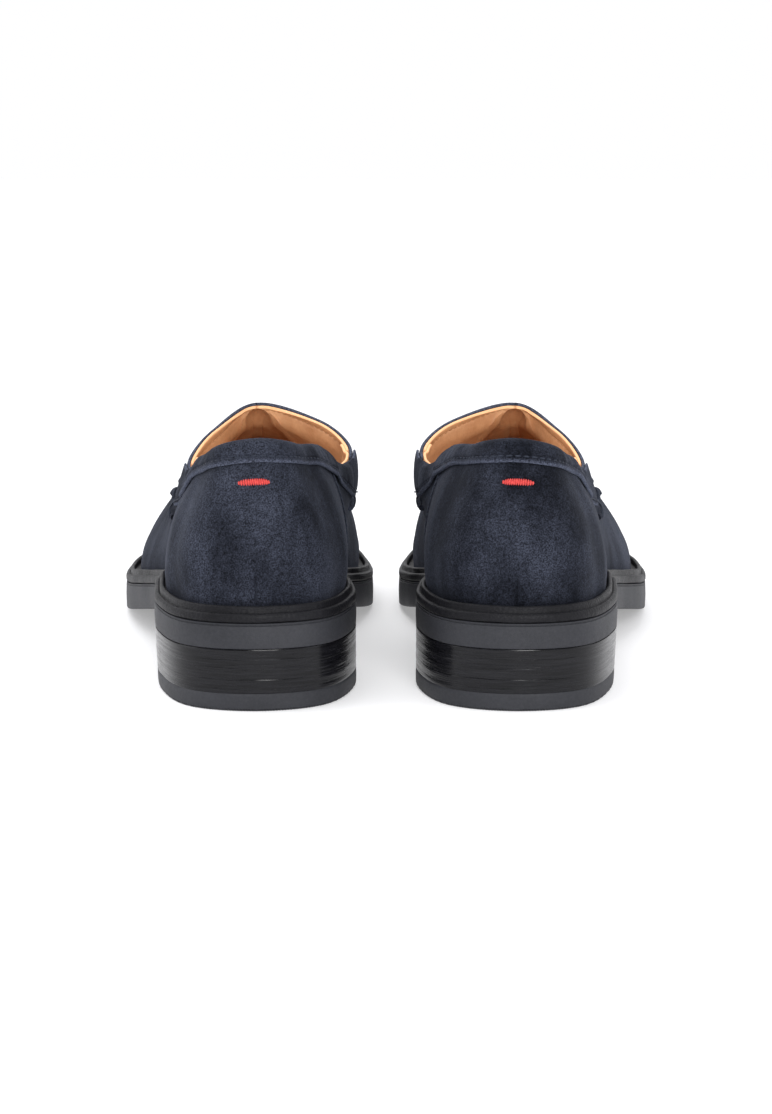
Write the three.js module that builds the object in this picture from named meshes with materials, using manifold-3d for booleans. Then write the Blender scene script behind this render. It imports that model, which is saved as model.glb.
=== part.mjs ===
// A pair of suede penny loafers, each built in layers as a shoemaker builds it: a stacked heel, a rubber
// outsole, a storm welt and its fillings, then lining, stiffeners, upper, strap and collar.
// Millimetres, +Z up, toes towards +Y. The origin is on the floor, in the middle of the pair.
// Everything is modelled for the right shoe, whose outer side faces +X; the left shoe is its mirror image.

import * as THREE from "three";
import { mergeVertices } from "three/addons/utils/BufferGeometryUtils.js";
import Module from "manifold-3d";

const wasm = await Module();
wasm.setup();

// How the pair stands
const HEEL_SPACING = 91.4; // between the centres of the two heels
const TOE_OUT = 3; // degrees that each shoe turns outwards

// Heel and sole, from the floor up
const CLEARANCE = 0.3; // left between layers that are glued or sewn together
const TOP_PIECE = 6.3; // rubber top piece, the lowest layer of the heel
const LIFT = 4.9; // one leather lift of the heel stack
const LIFTS = 3;
const HEEL_LENGTH = 76; // from the back of the heel to its front face
const SOLE_AT_HEEL = 9.3; // outsole thickness over the heel
const SOLE_AT_BALL = 12; // outsole thickness under the ball of the foot
const TREAD_START = 228; // where the outsole comes down to the floor
const WAIST_HOLLOW = 18; // how quickly it leaves the heel on its way down
const SPRING_START = 244; // where it starts to rise towards the toe
const TOE_SPRING = 8;
const SHOE_LENGTH = 301.5;

// Welt and what it surrounds
const WELT = 3.2;
const WELT_INSIDE = 3.6; // how far the welt reaches in under the upper
const MARGIN_AT_HEEL = 5.8; // how far the welt and sole stand out past the upper
const MARGIN_AT_BALL = 6.5;
const RIB_INNER = 2.5; // the storm rib's two sides, measured out from the upper
const RIB_OUTER = 4;
const RIB_HEIGHT = 2.4;
const FILLER_START = 176; // cork filler, under the ball and toes
const SHANK = { start: 66, end: 166, width: 13, thickness: 1.1 };
const BOARD = 2.5; // insole board
const FOAM = 3;
const SOCK = 1.2;

// Layers of the upper, as distances from the outer face of the main suede, which is zero
const SUEDE = 1.2;
const LAP = SUEDE + CLEARANCE; // how far a piece stands out where it laps over another
const BEHIND_SUEDE = 0.7; // room behind each layer for the slope of its facets
const STIFFENER = 0.3;
const LINING = 0.9;
const STIFFENER_OUTER = -SUEDE - BEHIND_SUEDE;
const STIFFENER_INNER = STIFFENER_OUTER - STIFFENER;
const LINING_OUTER = STIFFENER_INNER - BEHIND_SUEDE;
const LINING_INNER = LINING_OUTER - LINING;
const STRAP_LEATHER = 1.4;
const WELT_TO_UPPER = 0.4; // under the lower edge of the upper

// Heel nails, driven down through the insole board
const NAIL_RADIUS = 1.2;
const NAIL_SIDES = 6;
const NAIL_TIP = 9; // height of the tip above the floor
const NAIL_PLACES = [[-14, 19], [14, 19], [-17, 44], [17, 44], [0, 58]];

// Thread
const BAR_TACK = { width: 11.3, height: 2.6, below: 15.2, thickness: 1 };
const SEAM_THREAD_RADIUS = 0.8;

// Places round the shoe are given as stations: 0 at the back of the heel, 12 at the tip of the toe,
// positive on the outer side and negative on the inner side. A surface point is a station and a share of
// the way up from the feather line, where the upper meets the welt, to the topline or, in front of
// station 7, to the ridge.
const TONGUE = 7;
const TOE = 12;
const STEP = 1 / 3; // spacing of the facets, in stations

// Each row: the feather line's x and y, the top's x, y and z, then how the wall leaves the feather line
// (out, up) and how it arrives at the top (from outside, from below).
const BACK = [0, 5, 0, 12, 95.5, 6, 24, 4, 20];
const OUTER_SIDE = [
  [20.5, 12.5, 11, 18.5, 92.8, 6.5, 23, 6, 20],
  [29.9, 36.5, 16.2, 38, 86.1, 2, 18, 9, 18],
  [32.1, 65, 20, 62, 76.8, 0.8, 14, 9, 13],
  [32.3, 97, 23.7, 88, 72.5, 3, 12, 4, 13],
  [36, 122, 26, 113, 76.5, 2.5, 12, 4, 13],
  [41.5, 144, 17, 129, 86, 2.5, 13, 3, 11],
  [46.3, 165, -0.8, 146, 94.8, 2.5, 14, 11, 0],
  [49.5, 197, -0.5, 172, 82, 3, 16, 17, 0],
  [48.3, 229, 0, 202, 68, 3.5, 18, 21, 0.7],
  [40, 259, 0, 232, 57.5, 3.5, 18, 18, 1.2],
  [26, 284, 0, 259, 50.5, 3, 17, 15, 3],
];
const TOE_TIP = [0, 295, 0, 272, 47, 2.5, 16, 12, 3];
const INNER_SIDE = [
  [-20.5, 12.5, -9.5, 16.5, 94.4, 6.5, 23, 6, 20],
  [-30.2, 37, -16.5, 36, 90, 5.5, 18, 10, 17],
  [-30.8, 64, -21.5, 62, 85.5, 4.5, 15, 11, 12],
  [-27.5, 97, -34.5, 90, 76.5, 4, 17, 5, 16],
  [-29.5, 124, -37.5, 114, 81.5, 6, 18, 5, 15],
  [-33.5, 147, -25.7, 129, 89.8, 6.5, 20, 12, 13],
  [-39, 168, -0.8, 146, 94.8, 5.5, 22, 22, 0],
  [-44, 200, -0.5, 172, 82, 4, 25, 25, 0],
  [-43.5, 233, 0, 202, 68, 4, 22, 22, 0.7],
  [-38.5, 262, 0, 232, 57.5, 3.5, 20, 18, 1.2],
  [-26, 286, 0, 259, 50.5, 3, 18, 14, 3],
];

const COLOURS = {
  suede: 0x1c2230,
  lining: 0xb07a45,
  sock: 0xa8703c,
  rubber: 0x2c2d30,
  welt: 0x101012,
  heelStack: 0x151517,
  board: 0xb59a72,
  cork: 0x9a7650,
  foam: 0xd8cfbd,
  steel: 0x9a9da2,
  stiffener: 0xcfc6b4,
  thread: 0xa8553a,
};

// ---- heights along the shoe ----

const smooth = (from, to, x) => THREE.MathUtils.smoothstep(x, from, to);
const mix = THREE.MathUtils.lerp;
const STACK_TOP = TOP_PIECE + LIFTS * (LIFT + CLEARANCE);

// Underside of the outsole: level over the heel, down through the waist, flat at the ball, up at the toe.
function underside(y) {
  const along = THREE.MathUtils.clamp((y - HEEL_LENGTH) / (TREAD_START - HEEL_LENGTH), 0, 1);
  const hollow = WAIST_HOLLOW * along * (1 - along) ** 2;
  const heel = (STACK_TOP + CLEARANCE) * (1 - smooth(HEEL_LENGTH, TREAD_START, y)) - hollow;
  const toe = Math.max(0, (y - SPRING_START) / (SHOE_LENGTH - SPRING_START));
  return heel + TOE_SPRING * toe ** 2;
}

const soleTop = (y) => underside(y) + mix(SOLE_AT_HEEL, SOLE_AT_BALL, smooth(HEEL_LENGTH, TREAD_START, y));
const weltTop = (y) => soleTop(y) + CLEARANCE + WELT;
const featherHeight = (y) => weltTop(y) + WELT_TO_UPPER;
const boardTop = (y) => weltTop(y) + CLEARANCE + BOARD;
const foamTop = (y) => boardTop(y) + CLEARANCE + FOAM;

// ---- the surface of the upper ----

const RING = [BACK, ...OUTER_SIDE, TOE_TIP, ...INNER_SIDE.toReversed()];
const closedCurve = (rows, pick) => new THREE.CatmullRomCurve3(rows.map(pick), true, "catmullrom", 0.5);
const openCurve = (rows, pick) => new THREE.CatmullRomCurve3(rows.map(pick), false, "catmullrom", 0.5);
const topOf = (row) => new THREE.Vector3(row[2], row[3], row[4]);

const feather = closedCurve(RING, (row) => new THREE.Vector3(row[0], row[1], 0));
const leaving = closedCurve(RING, (row) => new THREE.Vector3(row[5], row[6], 0));
const arriving = closedCurve(RING, (row) => new THREE.Vector3(row[7], row[8], 0));
const TOPLINE = [BACK, ...OUTER_SIDE.slice(0, TONGUE), ...INNER_SIDE.slice(0, TONGUE - 1).toReversed()];
const topline = closedCurve(TOPLINE, topOf);
const ridge = openCurve([...OUTER_SIDE.slice(TONGUE - 1), TOE_TIP], topOf);

// A station brought into the range from -12 to 12.
const wrap = (station) => THREE.MathUtils.euclideanModulo(station + TOE, 2 * TOE) - TOE;
const around = (station) => THREE.MathUtils.euclideanModulo(station, 2 * TOE) / (2 * TOE);

// The feather line in plan, moved outwards by a distance.
function outline(station, outwards = 0) {
  const point = feather.getPoint(around(station));
  const tangent = feather.getPoint(around(station + 0.01)).sub(feather.getPoint(around(station - 0.01)));
  return new THREE.Vector2(point.x, point.y).addScaledVector(
    new THREE.Vector2(tangent.y, -tangent.x).normalize(),
    outwards,
  );
}

function topPoint(station) {
  const side = Math.abs(wrap(station));
  const turn = THREE.MathUtils.euclideanModulo(wrap(station) / (2 * TONGUE), 1);
  if (side <= TONGUE) return topline.getPoint(turn);
  return ridge.getPoint((side - TONGUE) / (TOE - TONGUE));
}

// A point of the upper's outer face: a cubic curve from the feather line to the top.
function upperPoint(station, up) {
  const foot = outline(station);
  const outward = outline(station, 1).sub(foot);
  const out = new THREE.Vector3(outward.x, outward.y, 0);
  const leave = leaving.getPoint(around(station));
  const arrive = arriving.getPoint(around(station));
  const start = new THREE.Vector3(foot.x, foot.y, featherHeight(foot.y));
  const end = topPoint(station);
  const afterStart = start.clone().addScaledVector(out, leave.x).setZ(start.z + leave.y);
  const beforeEnd = end.clone().addScaledVector(out, arrive.x).setZ(end.z - arrive.y);
  return new THREE.CubicBezierCurve3(start, afterStart, beforeEnd, end).getPoint(up);
}

// ---- turning faces into solids ----

// A geometry from triangles given as lists of three points.
function fromTriangles(triangles) {
  const geometry = new THREE.BufferGeometry();
  geometry.setFromPoints(triangles.flat());
  return mergeVertices(geometry, 1e-3);
}

// The two triangles of a four-cornered face, leaving out any that has closed up.
function quad(a, b, c, d) {
  const open = ([p, q, r]) => p.distanceTo(q) > 1e-3 && q.distanceTo(r) > 1e-3 && r.distanceTo(p) > 1e-3;
  return [[a, b, c], [a, c, d]].filter(open);
}

// A face made of welded points, each with the two distances that will give it a thickness there.
class Sheet {
  constructor() {
    this.points = [];
    this.triangles = [];
    this.lookup = new Map();
  }

  // The number of a point, the same one for points that coincide. square: the edge stands square on the welt.
  add(point, inner, outer, square = false) {
    const key = point.toArray().map((value) => Math.round(value * 200)).join();
    if (!this.lookup.has(key)) {
      this.lookup.set(key, this.points.length);
      this.points.push({ point, inner, outer, square, normal: new THREE.Vector3() });
    }
    return this.lookup.get(key);
  }

  // Four corners, anticlockwise from outside. A side may have closed up to a point.
  quad(a, b, c, d) {
    for (const corners of [[a, b, c], [a, c, d]])
      if (new Set(corners).size === 3) this.triangles.push(corners);
  }

  // The closed solid between the two distances.
  solid() {
    for (const corners of this.triangles) {
      const [a, b, c] = corners.map((i) => this.points[i].point);
      const normal = b.clone().sub(a).cross(c.clone().sub(a));
      for (const i of corners) this.points[i].normal.add(normal);
    }
    const moved = (which) => this.points.map((vertex) => {
      const normal = vertex.normal.clone();
      if (vertex.square) normal.setZ(0);
      return vertex.point.clone().addScaledVector(normal.normalize(), vertex[which]);
    });
    const outer = moved("outer");
    const inner = moved("inner");
    const edges = new Set();
    const faces = [];
    for (const [a, b, c] of this.triangles) {
      faces.push([outer[a], outer[b], outer[c]], [inner[c], inner[b], inner[a]]);
      for (const [from, to] of [[a, b], [b, c], [c, a]]) edges.add(from + ">" + to);
    }
    for (const edge of edges) {
      const [from, to] = edge.split(">");
      if (!edges.has(to + ">" + from)) faces.push(...quad(outer[to], outer[from], inner[from], inner[to]));
    }
    return fromTriangles(faces);
  }
}

// A skin of the upper between two distances from the outer face. stations is a rising list; low and high give
// the skin's lower and upper edge at a station; inner and outer give its two faces there.
function skin({ stations, low, high, rows, inner, outer }) {
  const sheet = new Sheet();
  const lines = stations.map((station) => Array.from({ length: rows + 1 }, (_, row) => {
    const up = mix(low(station), high(station), row / rows);
    return sheet.add(upperPoint(station, up), inner(station), outer(station), up < 0.03);
  }));
  for (let i = 1; i < lines.length; i++)
    for (let row = 0; row < rows; row++)
      sheet.quad(lines[i - 1][row], lines[i][row], lines[i][row + 1], lines[i - 1][row + 1]);
  return sheet.solid();
}

// A layer that lies flat along the shoe, between two lists of plan points that run from back to front.
function slab(outerSide, innerSide, low, high) {
  const at = (points, height) => points.map((p) => new THREE.Vector3(p.x, p.y, height(p.y)));
  const [outerLow, outerHigh] = [at(outerSide, low), at(outerSide, high)];
  const [innerLow, innerHigh] = [at(innerSide, low), at(innerSide, high)];
  const last = outerSide.length - 1;
  const triangles = [];
  for (let i = 0; i < last; i++) {
    triangles.push(...quad(innerHigh[i], outerHigh[i], outerHigh[i + 1], innerHigh[i + 1]));
    triangles.push(...quad(innerLow[i + 1], outerLow[i + 1], outerLow[i], innerLow[i]));
    triangles.push(...quad(outerLow[i], outerLow[i + 1], outerHigh[i + 1], outerHigh[i]));
    triangles.push(...quad(innerLow[i + 1], innerLow[i], innerHigh[i], innerHigh[i + 1]));
  }
  triangles.push(...quad(outerLow[0], outerHigh[0], innerHigh[0], innerLow[0]));
  triangles.push(...quad(innerLow[last], innerHigh[last], outerHigh[last], outerLow[last]));
  return fromTriangles(triangles);
}

function toSolid(geometry) {
  const bare = geometry.clone();
  bare.deleteAttribute("normal");
  bare.deleteAttribute("uv");
  const merged = mergeVertices(bare, 1e-3);
  return new wasm.Manifold(new wasm.Mesh({
    numProp: 3,
    vertProperties: merged.attributes.position.array,
    triVerts: new Uint32Array(merged.index.array),
  }));
}

function cut(geometry, tools) {
  const made = tools.reduce((solid, tool) => solid.subtract(toSolid(tool)), toSolid(geometry));
  const mesh = made.getMesh();
  return new THREE.BufferGeometry()
    .setAttribute("position", new THREE.BufferAttribute(new Float32Array(mesh.vertProperties), 3))
    .setIndex(new THREE.BufferAttribute(mesh.triVerts, 1));
}

// ---- plan outlines ----

// Stations from one to another, both included, at the common facet spacing.
function stationsBetween(from, to) {
  const inside = [];
  for (let i = Math.ceil(from / STEP + 1e-6); i * STEP < to - 1e-6; i++) inside.push(i * STEP);
  return [from, ...inside, to];
}

// The station on one side (1 or -1) where an outline passes a given y.
function stationAt(y, outwards, side) {
  let low = 0;
  let high = TOE;
  for (let i = 0; i < 40; i++) {
    const middle = (low + high) / 2;
    if (outline(side * middle, outwardsAt(outwards, side * middle)).y < y) low = middle;
    else high = middle;
  }
  return (low + high) / 2;
}

const outwardsAt = (outwards, station) => (typeof outwards === "function" ? outwards(station) : outwards);

// One side of an outline, from a first to a last y, as plan points.
function sideOf(outwards, side, fromY, toY) {
  const from = fromY === undefined ? 0 : stationAt(fromY, outwards, side);
  const to = toY === undefined ? TOE : stationAt(toY, outwards, side);
  const count = Math.round((to - from) / STEP);
  return Array.from({ length: count + 1 }, (_, i) => {
    const station = side * mix(from, to, i / count);
    return outline(station, outwardsAt(outwards, station));
  });
}

// A slab whose edge follows the feather line. Both sides get the same number of points.
function soleLayer(outwards, low, high, fromY, toY) {
  const outerSide = sideOf(outwards, 1, fromY, toY);
  const innerSide = sideOf(outwards, -1, fromY, toY);
  const count = Math.min(outerSide.length, innerSide.length);
  const evened = (points) => {
    const curve = new THREE.CatmullRomCurve3(points.map((p) => new THREE.Vector3(p.x, p.y, 0)));
    const resampled = Array.from({ length: count }, (_, i) => curve.getPoint(i / (count - 1)));
    return points.length === count ? points : resampled.map((p) => new THREE.Vector2(p.x, p.y));
  };
  return slab(evened(outerSide), evened(innerSide), low, high);
}

const margin = (station) => mix(MARGIN_AT_HEEL, MARGIN_AT_BALL, smooth(3, 8, Math.abs(wrap(station))));

// ---- heel and sole ----

const nailHole = (radius, low, high) => ([x, y]) =>
  new THREE.CylinderGeometry(radius, radius, high - low, NAIL_SIDES)
    .rotateX(Math.PI / 2)
    .translate(x, y, (low + high) / 2);

function nailHoles(low, high) {
  return NAIL_PLACES.map(nailHole(NAIL_RADIUS + CLEARANCE, low, high));
}

function heelNail(place) {
  return nailHole(NAIL_RADIUS, NAIL_TIP, boardTop(0))(place);
}

function heelTopPiece() {
  return soleLayer(margin, () => 0, () => TOP_PIECE, undefined, HEEL_LENGTH);
}

// One leather lift of the heel stack, numbered from the floor up. The nails end inside the lowest one.
function heelLift(number) {
  const low = TOP_PIECE + CLEARANCE + number * (LIFT + CLEARANCE);
  const lift = soleLayer(margin, () => low, () => low + LIFT, undefined, HEEL_LENGTH);
  return cut(lift, nailHoles(NAIL_TIP - CLEARANCE, STACK_TOP + 1));
}

function outsole() {
  return cut(soleLayer(margin, underside, soleTop), nailHoles(STACK_TOP - 1, soleTop(0) + 1));
}

// A ring with an L-shaped section: the flat welt, and the storm rib that stands against the upper.
function welt() {
  const stations = stationsBetween(-TOE, TOE).slice(1);
  const section = (station) => [
    [-WELT_INSIDE, 0],
    [margin(station), 0],
    [margin(station), WELT],
    [RIB_OUTER, WELT],
    [RIB_OUTER, WELT + RIB_HEIGHT],
    [RIB_INNER, WELT + RIB_HEIGHT],
    [RIB_INNER, WELT],
    [-WELT_INSIDE, WELT],
  ];
  const rings = stations.map((station) => section(station).map(([outwards, height]) => {
    const p = outline(station, outwards);
    return new THREE.Vector3(p.x, p.y, soleTop(p.y) + CLEARANCE + height);
  }));
  const faces = rings.flatMap((ring, i) => {
    const next = rings[(i + 1) % rings.length];
    return ring.flatMap((p, j) => {
      const k = (j + 1) % ring.length;
      return quad(p, next[j], next[k], ring[k]);
    });
  });
  return fromTriangles(faces);
}

function corkFiller() {
  const low = (y) => soleTop(y) + CLEARANCE;
  return soleLayer(-WELT_INSIDE - CLEARANCE, low, weltTop, FILLER_START);
}

// The steel shank follows the waist, resting on the outsole.
function shank() {
  const steps = 8;
  const along = Array.from({ length: steps + 1 }, (_, i) => mix(SHANK.start, SHANK.end, i / steps));
  const low = (y) => soleTop(y) + 2 * CLEARANCE;
  const side = (x) => along.map((y) => new THREE.Vector2(x, y));
  return slab(side(SHANK.width / 2), side(-SHANK.width / 2), low, (y) => low(y) + SHANK.thickness);
}

// The outline inside the lining, drawn in further at the front, where the upper leans in over the foot.
const insideLining = (lean) => (station) =>
  LINING_INNER - 1.5 * CLEARANCE - lean * smooth(3.5, 7, Math.abs(wrap(station)));

function insoleBoard() {
  const low = (y) => weltTop(y) + CLEARANCE;
  return cut(soleLayer(insideLining(0.5), low, boardTop), nailHoles(low(0) - 1, boardTop(0) + 1));
}

function footbedFoam() {
  return soleLayer(insideLining(1.8), (y) => boardTop(y) + CLEARANCE, foamTop);
}

function sockLining() {
  const low = (y) => foamTop(y) + CLEARANCE;
  return soleLayer(insideLining(2.8), low, (y) => low(y) + SOCK);
}

// ---- upper ----

const always = (value) => () => value;
const sideStation = (station) => Math.abs(wrap(station));
// The seam between vamp and apron: level from the collar past the strap, then round the toe in a U.
function seamHeight(station) {
  const side = sideStation(station);
  const atCollar = 0.12 * (1 - smooth(4.6, 7, side));
  const roundToe = 0.12 * smooth(6.8, 10.5, side) + 0.3 * Math.max(0, (side - 10.2) / 1.8) ** 2;
  return 0.43 + atCollar + roundToe;
}

function collarEdge(station) {
  const side = sideStation(station);
  return 0.855 - 0.1 * smooth(1.8, 3.1, side) - 0.19 * smooth(3.6, 5.3, side);
}
const COLLAR_END = 4.75;
const COUNTER_END = 3; // where the heel cover's front edge lies
const VAMP_START = 2.35; // where the vamp starts, under the heel cover

// How far the heel cover stands out: flush at the back, lapped over the vamp at its front edges.
const counterLap = (station) => LAP * smooth(1.6, 2.2, sideStation(station));

// The vamp's upper edge: up under the collar as far as the apron, then down to the apron seam.
const VAMP_DROP = [4.38, 4.45];
const APRON_START = 4.48;
function vampEdge(station) {
  const side = sideStation(station);
  return mix(0.97, seamHeight(station) - 0.02, smooth(...VAMP_DROP, side));
}

function vamp() {
  const [from, to] = [VAMP_START, 2 * TOE - VAMP_START];
  const drops = VAMP_DROP.flatMap((side) => [side, 2 * TOE - side]);
  return skin({
    stations: [...stationsBetween(from, to), ...drops].sort((a, b) => a - b),
    low: always(0),
    high: vampEdge,
    rows: 4,
    inner: always(-SUEDE),
    outer: always(0),
  });
}

// The apron with the tongue in one piece: the edges above the seam, joined along the ridge.
function apron() {
  return skin({
    stations: stationsBetween(APRON_START, 2 * TOE - APRON_START),
    low: (station) => seamHeight(station) + 0.01,
    high: always(1),
    rows: 5,
    inner: always(-SUEDE),
    outer: always(0),
  });
}

function heelCover() {
  return skin({
    stations: stationsBetween(-COUNTER_END, COUNTER_END),
    low: always(0),
    high: always(0.97),
    rows: 4,
    inner: (station) => counterLap(station) - SUEDE,
    outer: counterLap,
  });
}

// The collar band laps over the heel cover and, in front of that, lies on the vamp.
function collarBand() {
  const lap = (station) => counterLap(station) * (1 - smooth(3.1, 3.6, sideStation(station)));
  return skin({
    stations: stationsBetween(-COLLAR_END, COLLAR_END),
    low: collarEdge,
    high: always(1),
    rows: 3,
    inner: (station) => lap(station) + 1.5 * CLEARANCE,
    outer: (station) => lap(station) + 1.5 * CLEARANCE + SUEDE,
  });
}

function vampLining() {
  const start = 5;
  return skin({
    stations: stationsBetween(start, 2 * TOE - start),
    low: always(0),
    high: always(1),
    rows: 5,
    inner: always(LINING_INNER),
    outer: always(LINING_OUTER),
  });
}

function quarterLining() {
  const end = 4.94;
  const drops = VAMP_DROP.flatMap((side) => [-side, side]);
  return skin({
    stations: [...stationsBetween(-end, end), ...drops].sort((a, b) => a - b),
    low: always(0),
    high: always(1),
    rows: 5,
    inner: always(LINING_INNER),
    outer: (station) => LINING_OUTER - 0.3 * smooth(3.9, 4.3, sideStation(station)),
  });
}

function heelStiffener() {
  const end = 3.6;
  return skin({
    stations: stationsBetween(-end, end),
    low: always(0.02),
    high: (station) => mix(0.62, 0.3, smooth(2, end, sideStation(station))),
    rows: 4,
    inner: always(STIFFENER_INNER),
    outer: always(STIFFENER_OUTER),
  });
}

function toePuff() {
  const start = 9.6;
  return skin({
    stations: stationsBetween(start, 2 * TOE - start),
    low: always(0.02),
    high: always(0.8),
    rows: 5,
    inner: always(STIFFENER_INNER),
    outer: always(STIFFENER_OUTER),
  });
}

// The saddle strap: across the ridge and down both sides to just above the apron seam, with the penny slot.
function pennyStrap() {
  const [rows, across, low] = [6, 6, 0.5];
  const inner = 2 * CLEARANCE;
  const rear = (up) => 6.3 + 1.15 * ((up - low) / (1 - low));
  const front = (up) => 7.9 + 0.45 * ((up - low) / (1 - low));
  const sheet = new Sheet();
  for (const side of [-1, 1]) {
    const lines = Array.from({ length: across + 1 }, (_, i) => Array.from({ length: rows + 1 }, (_, row) => {
      const up = mix(low, 1, row / rows);
      const point = upperPoint(side * mix(rear(up), front(up), i / across), up);
      return sheet.add(point, inner, inner + STRAP_LEATHER);
    }));
    if (side < 0) lines.reverse();
    for (let i = 1; i <= across; i++)
      for (let row = 0; row < rows; row++)
        sheet.quad(lines[i - 1][row], lines[i][row], lines[i][row + 1], lines[i - 1][row + 1]);
  }
  return cut(sheet.solid(), [pennySlot()]);
}

// The lens-shaped slot in the strap, cut square to the ridge.
function pennySlot() {
  const [halfWidth, halfHeight] = [12, 3.6];
  const lens = new THREE.Shape();
  lens.moveTo(-halfWidth, 0);
  lens.quadraticCurveTo(0, -2 * halfHeight, halfWidth, 0);
  lens.quadraticCurveTo(0, 2 * halfHeight, -halfWidth, 0);
  const tool = new THREE.ExtrudeGeometry(lens, { depth: 30, bevelEnabled: false, curveSegments: 6 });
  const middle = 7.9;
  const place = upperPoint(middle, 1);
  const along = upperPoint(middle + 0.2, 1).sub(upperPoint(middle - 0.2, 1));
  return tool
    .translate(0, 0, -4)
    .rotateX(Math.atan2(along.z, along.y))
    .translate(place.x, place.y, place.z);
}

// A round thread along a list of surface points, standing just above the suede.
function apronThread() {
  const [start, end] = [8.2, 2 * TOE - 8.2];
  const points = stationsBetween(start, end).map((station) => {
    const p = upperPoint(station, seamHeight(station));
    const along = upperPoint(station + 0.1, seamHeight(station)).sub(p);
    const upwards = upperPoint(station, seamHeight(station) + 0.05).sub(p);
    return p.addScaledVector(along.cross(upwards).normalize(), SEAM_THREAD_RADIUS + CLEARANCE);
  });
  const round = new THREE.Shape().absarc(0, 0, SEAM_THREAD_RADIUS, 0, 2 * Math.PI);
  return new THREE.ExtrudeGeometry(round, {
    steps: 40,
    curveSegments: 3,
    extrudePath: new THREE.CatmullRomCurve3(points),
  });
}

// A bar of stitches at the back of the heel cover, under the collar.
function barTack() {
  const wall = upperPoint(0, 1).z - upperPoint(0, 0.9).z;
  const middle = 1 - 0.1 * (BAR_TACK.below / wall);
  const halfHeight = (0.05 * BAR_TACK.height) / wall;
  const reach = BAR_TACK.width / 2 / upperPoint(0.25, middle).distanceTo(upperPoint(0, middle)) / 4;
  return skin({
    stations: [-reach, -reach / 2, 0, reach / 2, reach],
    low: always(middle - halfHeight),
    high: always(middle + halfHeight),
    rows: 2,
    inner: always(CLEARANCE),
    outer: always(CLEARANCE + BAR_TACK.thickness),
  });
}

// ---- the pair ----

const liftNames = ["lower", "middle", "upper"];
const PIECES = [
  ["heel_top_piece", heelTopPiece(), COLOURS.rubber, 0.7, 0],
  ...liftNames.map((name, i) => ["heel_lift_" + name, heelLift(i), COLOURS.heelStack, 0.45, 0]),
  ...NAIL_PLACES.map((place, i) => ["heel_nail_" + (i + 1), heelNail(place), COLOURS.steel, 0.35, 1]),
  ["outsole", outsole(), COLOURS.rubber, 0.7, 0],
  ["welt", welt(), COLOURS.welt, 0.35, 0],
  ["cork_filler", corkFiller(), COLOURS.cork, 0.9, 0],
  ["shank", shank(), COLOURS.steel, 0.35, 1],
  ["insole_board", insoleBoard(), COLOURS.board, 0.85, 0],
  ["footbed_foam", footbedFoam(), COLOURS.foam, 0.95, 0],
  ["sock_lining", sockLining(), COLOURS.sock, 0.6, 0],
  ["quarter_lining", quarterLining(), COLOURS.lining, 0.6, 0],
  ["vamp_lining", vampLining(), COLOURS.lining, 0.6, 0],
  ["heel_stiffener", heelStiffener(), COLOURS.stiffener, 0.6, 0],
  ["toe_puff", toePuff(), COLOURS.stiffener, 0.6, 0],
  ["vamp", vamp(), COLOURS.suede, 0.95, 0],
  ["apron", apron(), COLOURS.suede, 0.95, 0],
  ["apron_thread", apronThread(), COLOURS.suede, 0.8, 0],
  ["heel_cover", heelCover(), COLOURS.suede, 0.95, 0],
  ["collar_band", collarBand(), COLOURS.suede, 0.95, 0],
  ["penny_strap", pennyStrap(), COLOURS.suede, 0.95, 0],
  ["bar_tack", barTack(), COLOURS.thread, 0.7, 0],
];

function shoe(side, mirror) {
  const group = new THREE.Group();
  for (const [name, geometry, color, roughness, metalness] of PIECES) {
    const mesh = new THREE.Mesh(geometry, new THREE.MeshStandardMaterial({ color, roughness, metalness }));
    mesh.name = side + "_" + name;
    group.add(mesh);
  }
  group.scale.x = mirror;
  group.position.x = (mirror * HEEL_SPACING) / 2;
  group.rotation.z = -mirror * THREE.MathUtils.degToRad(TOE_OUT);
  return group;
}

const pair = new THREE.Group();
pair.add(shoe("left", -1), shoe("right", 1));
const box = new THREE.Box3().setFromObject(pair);
pair.position.y = -(box.min.y + box.max.y) / 2;

export default pair;
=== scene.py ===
"""A pair of navy suede penny loafers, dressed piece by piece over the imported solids.

Shapes are worked out in millimetres for the right shoe, whose outer side faces +X. Each piece is then placed
twice: as it is for the right shoe, and mirrored for the left one.
"""

from __future__ import annotations

import logging
import math
from dataclasses import dataclass
from enum import Enum
from typing import Callable, Sequence

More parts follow.
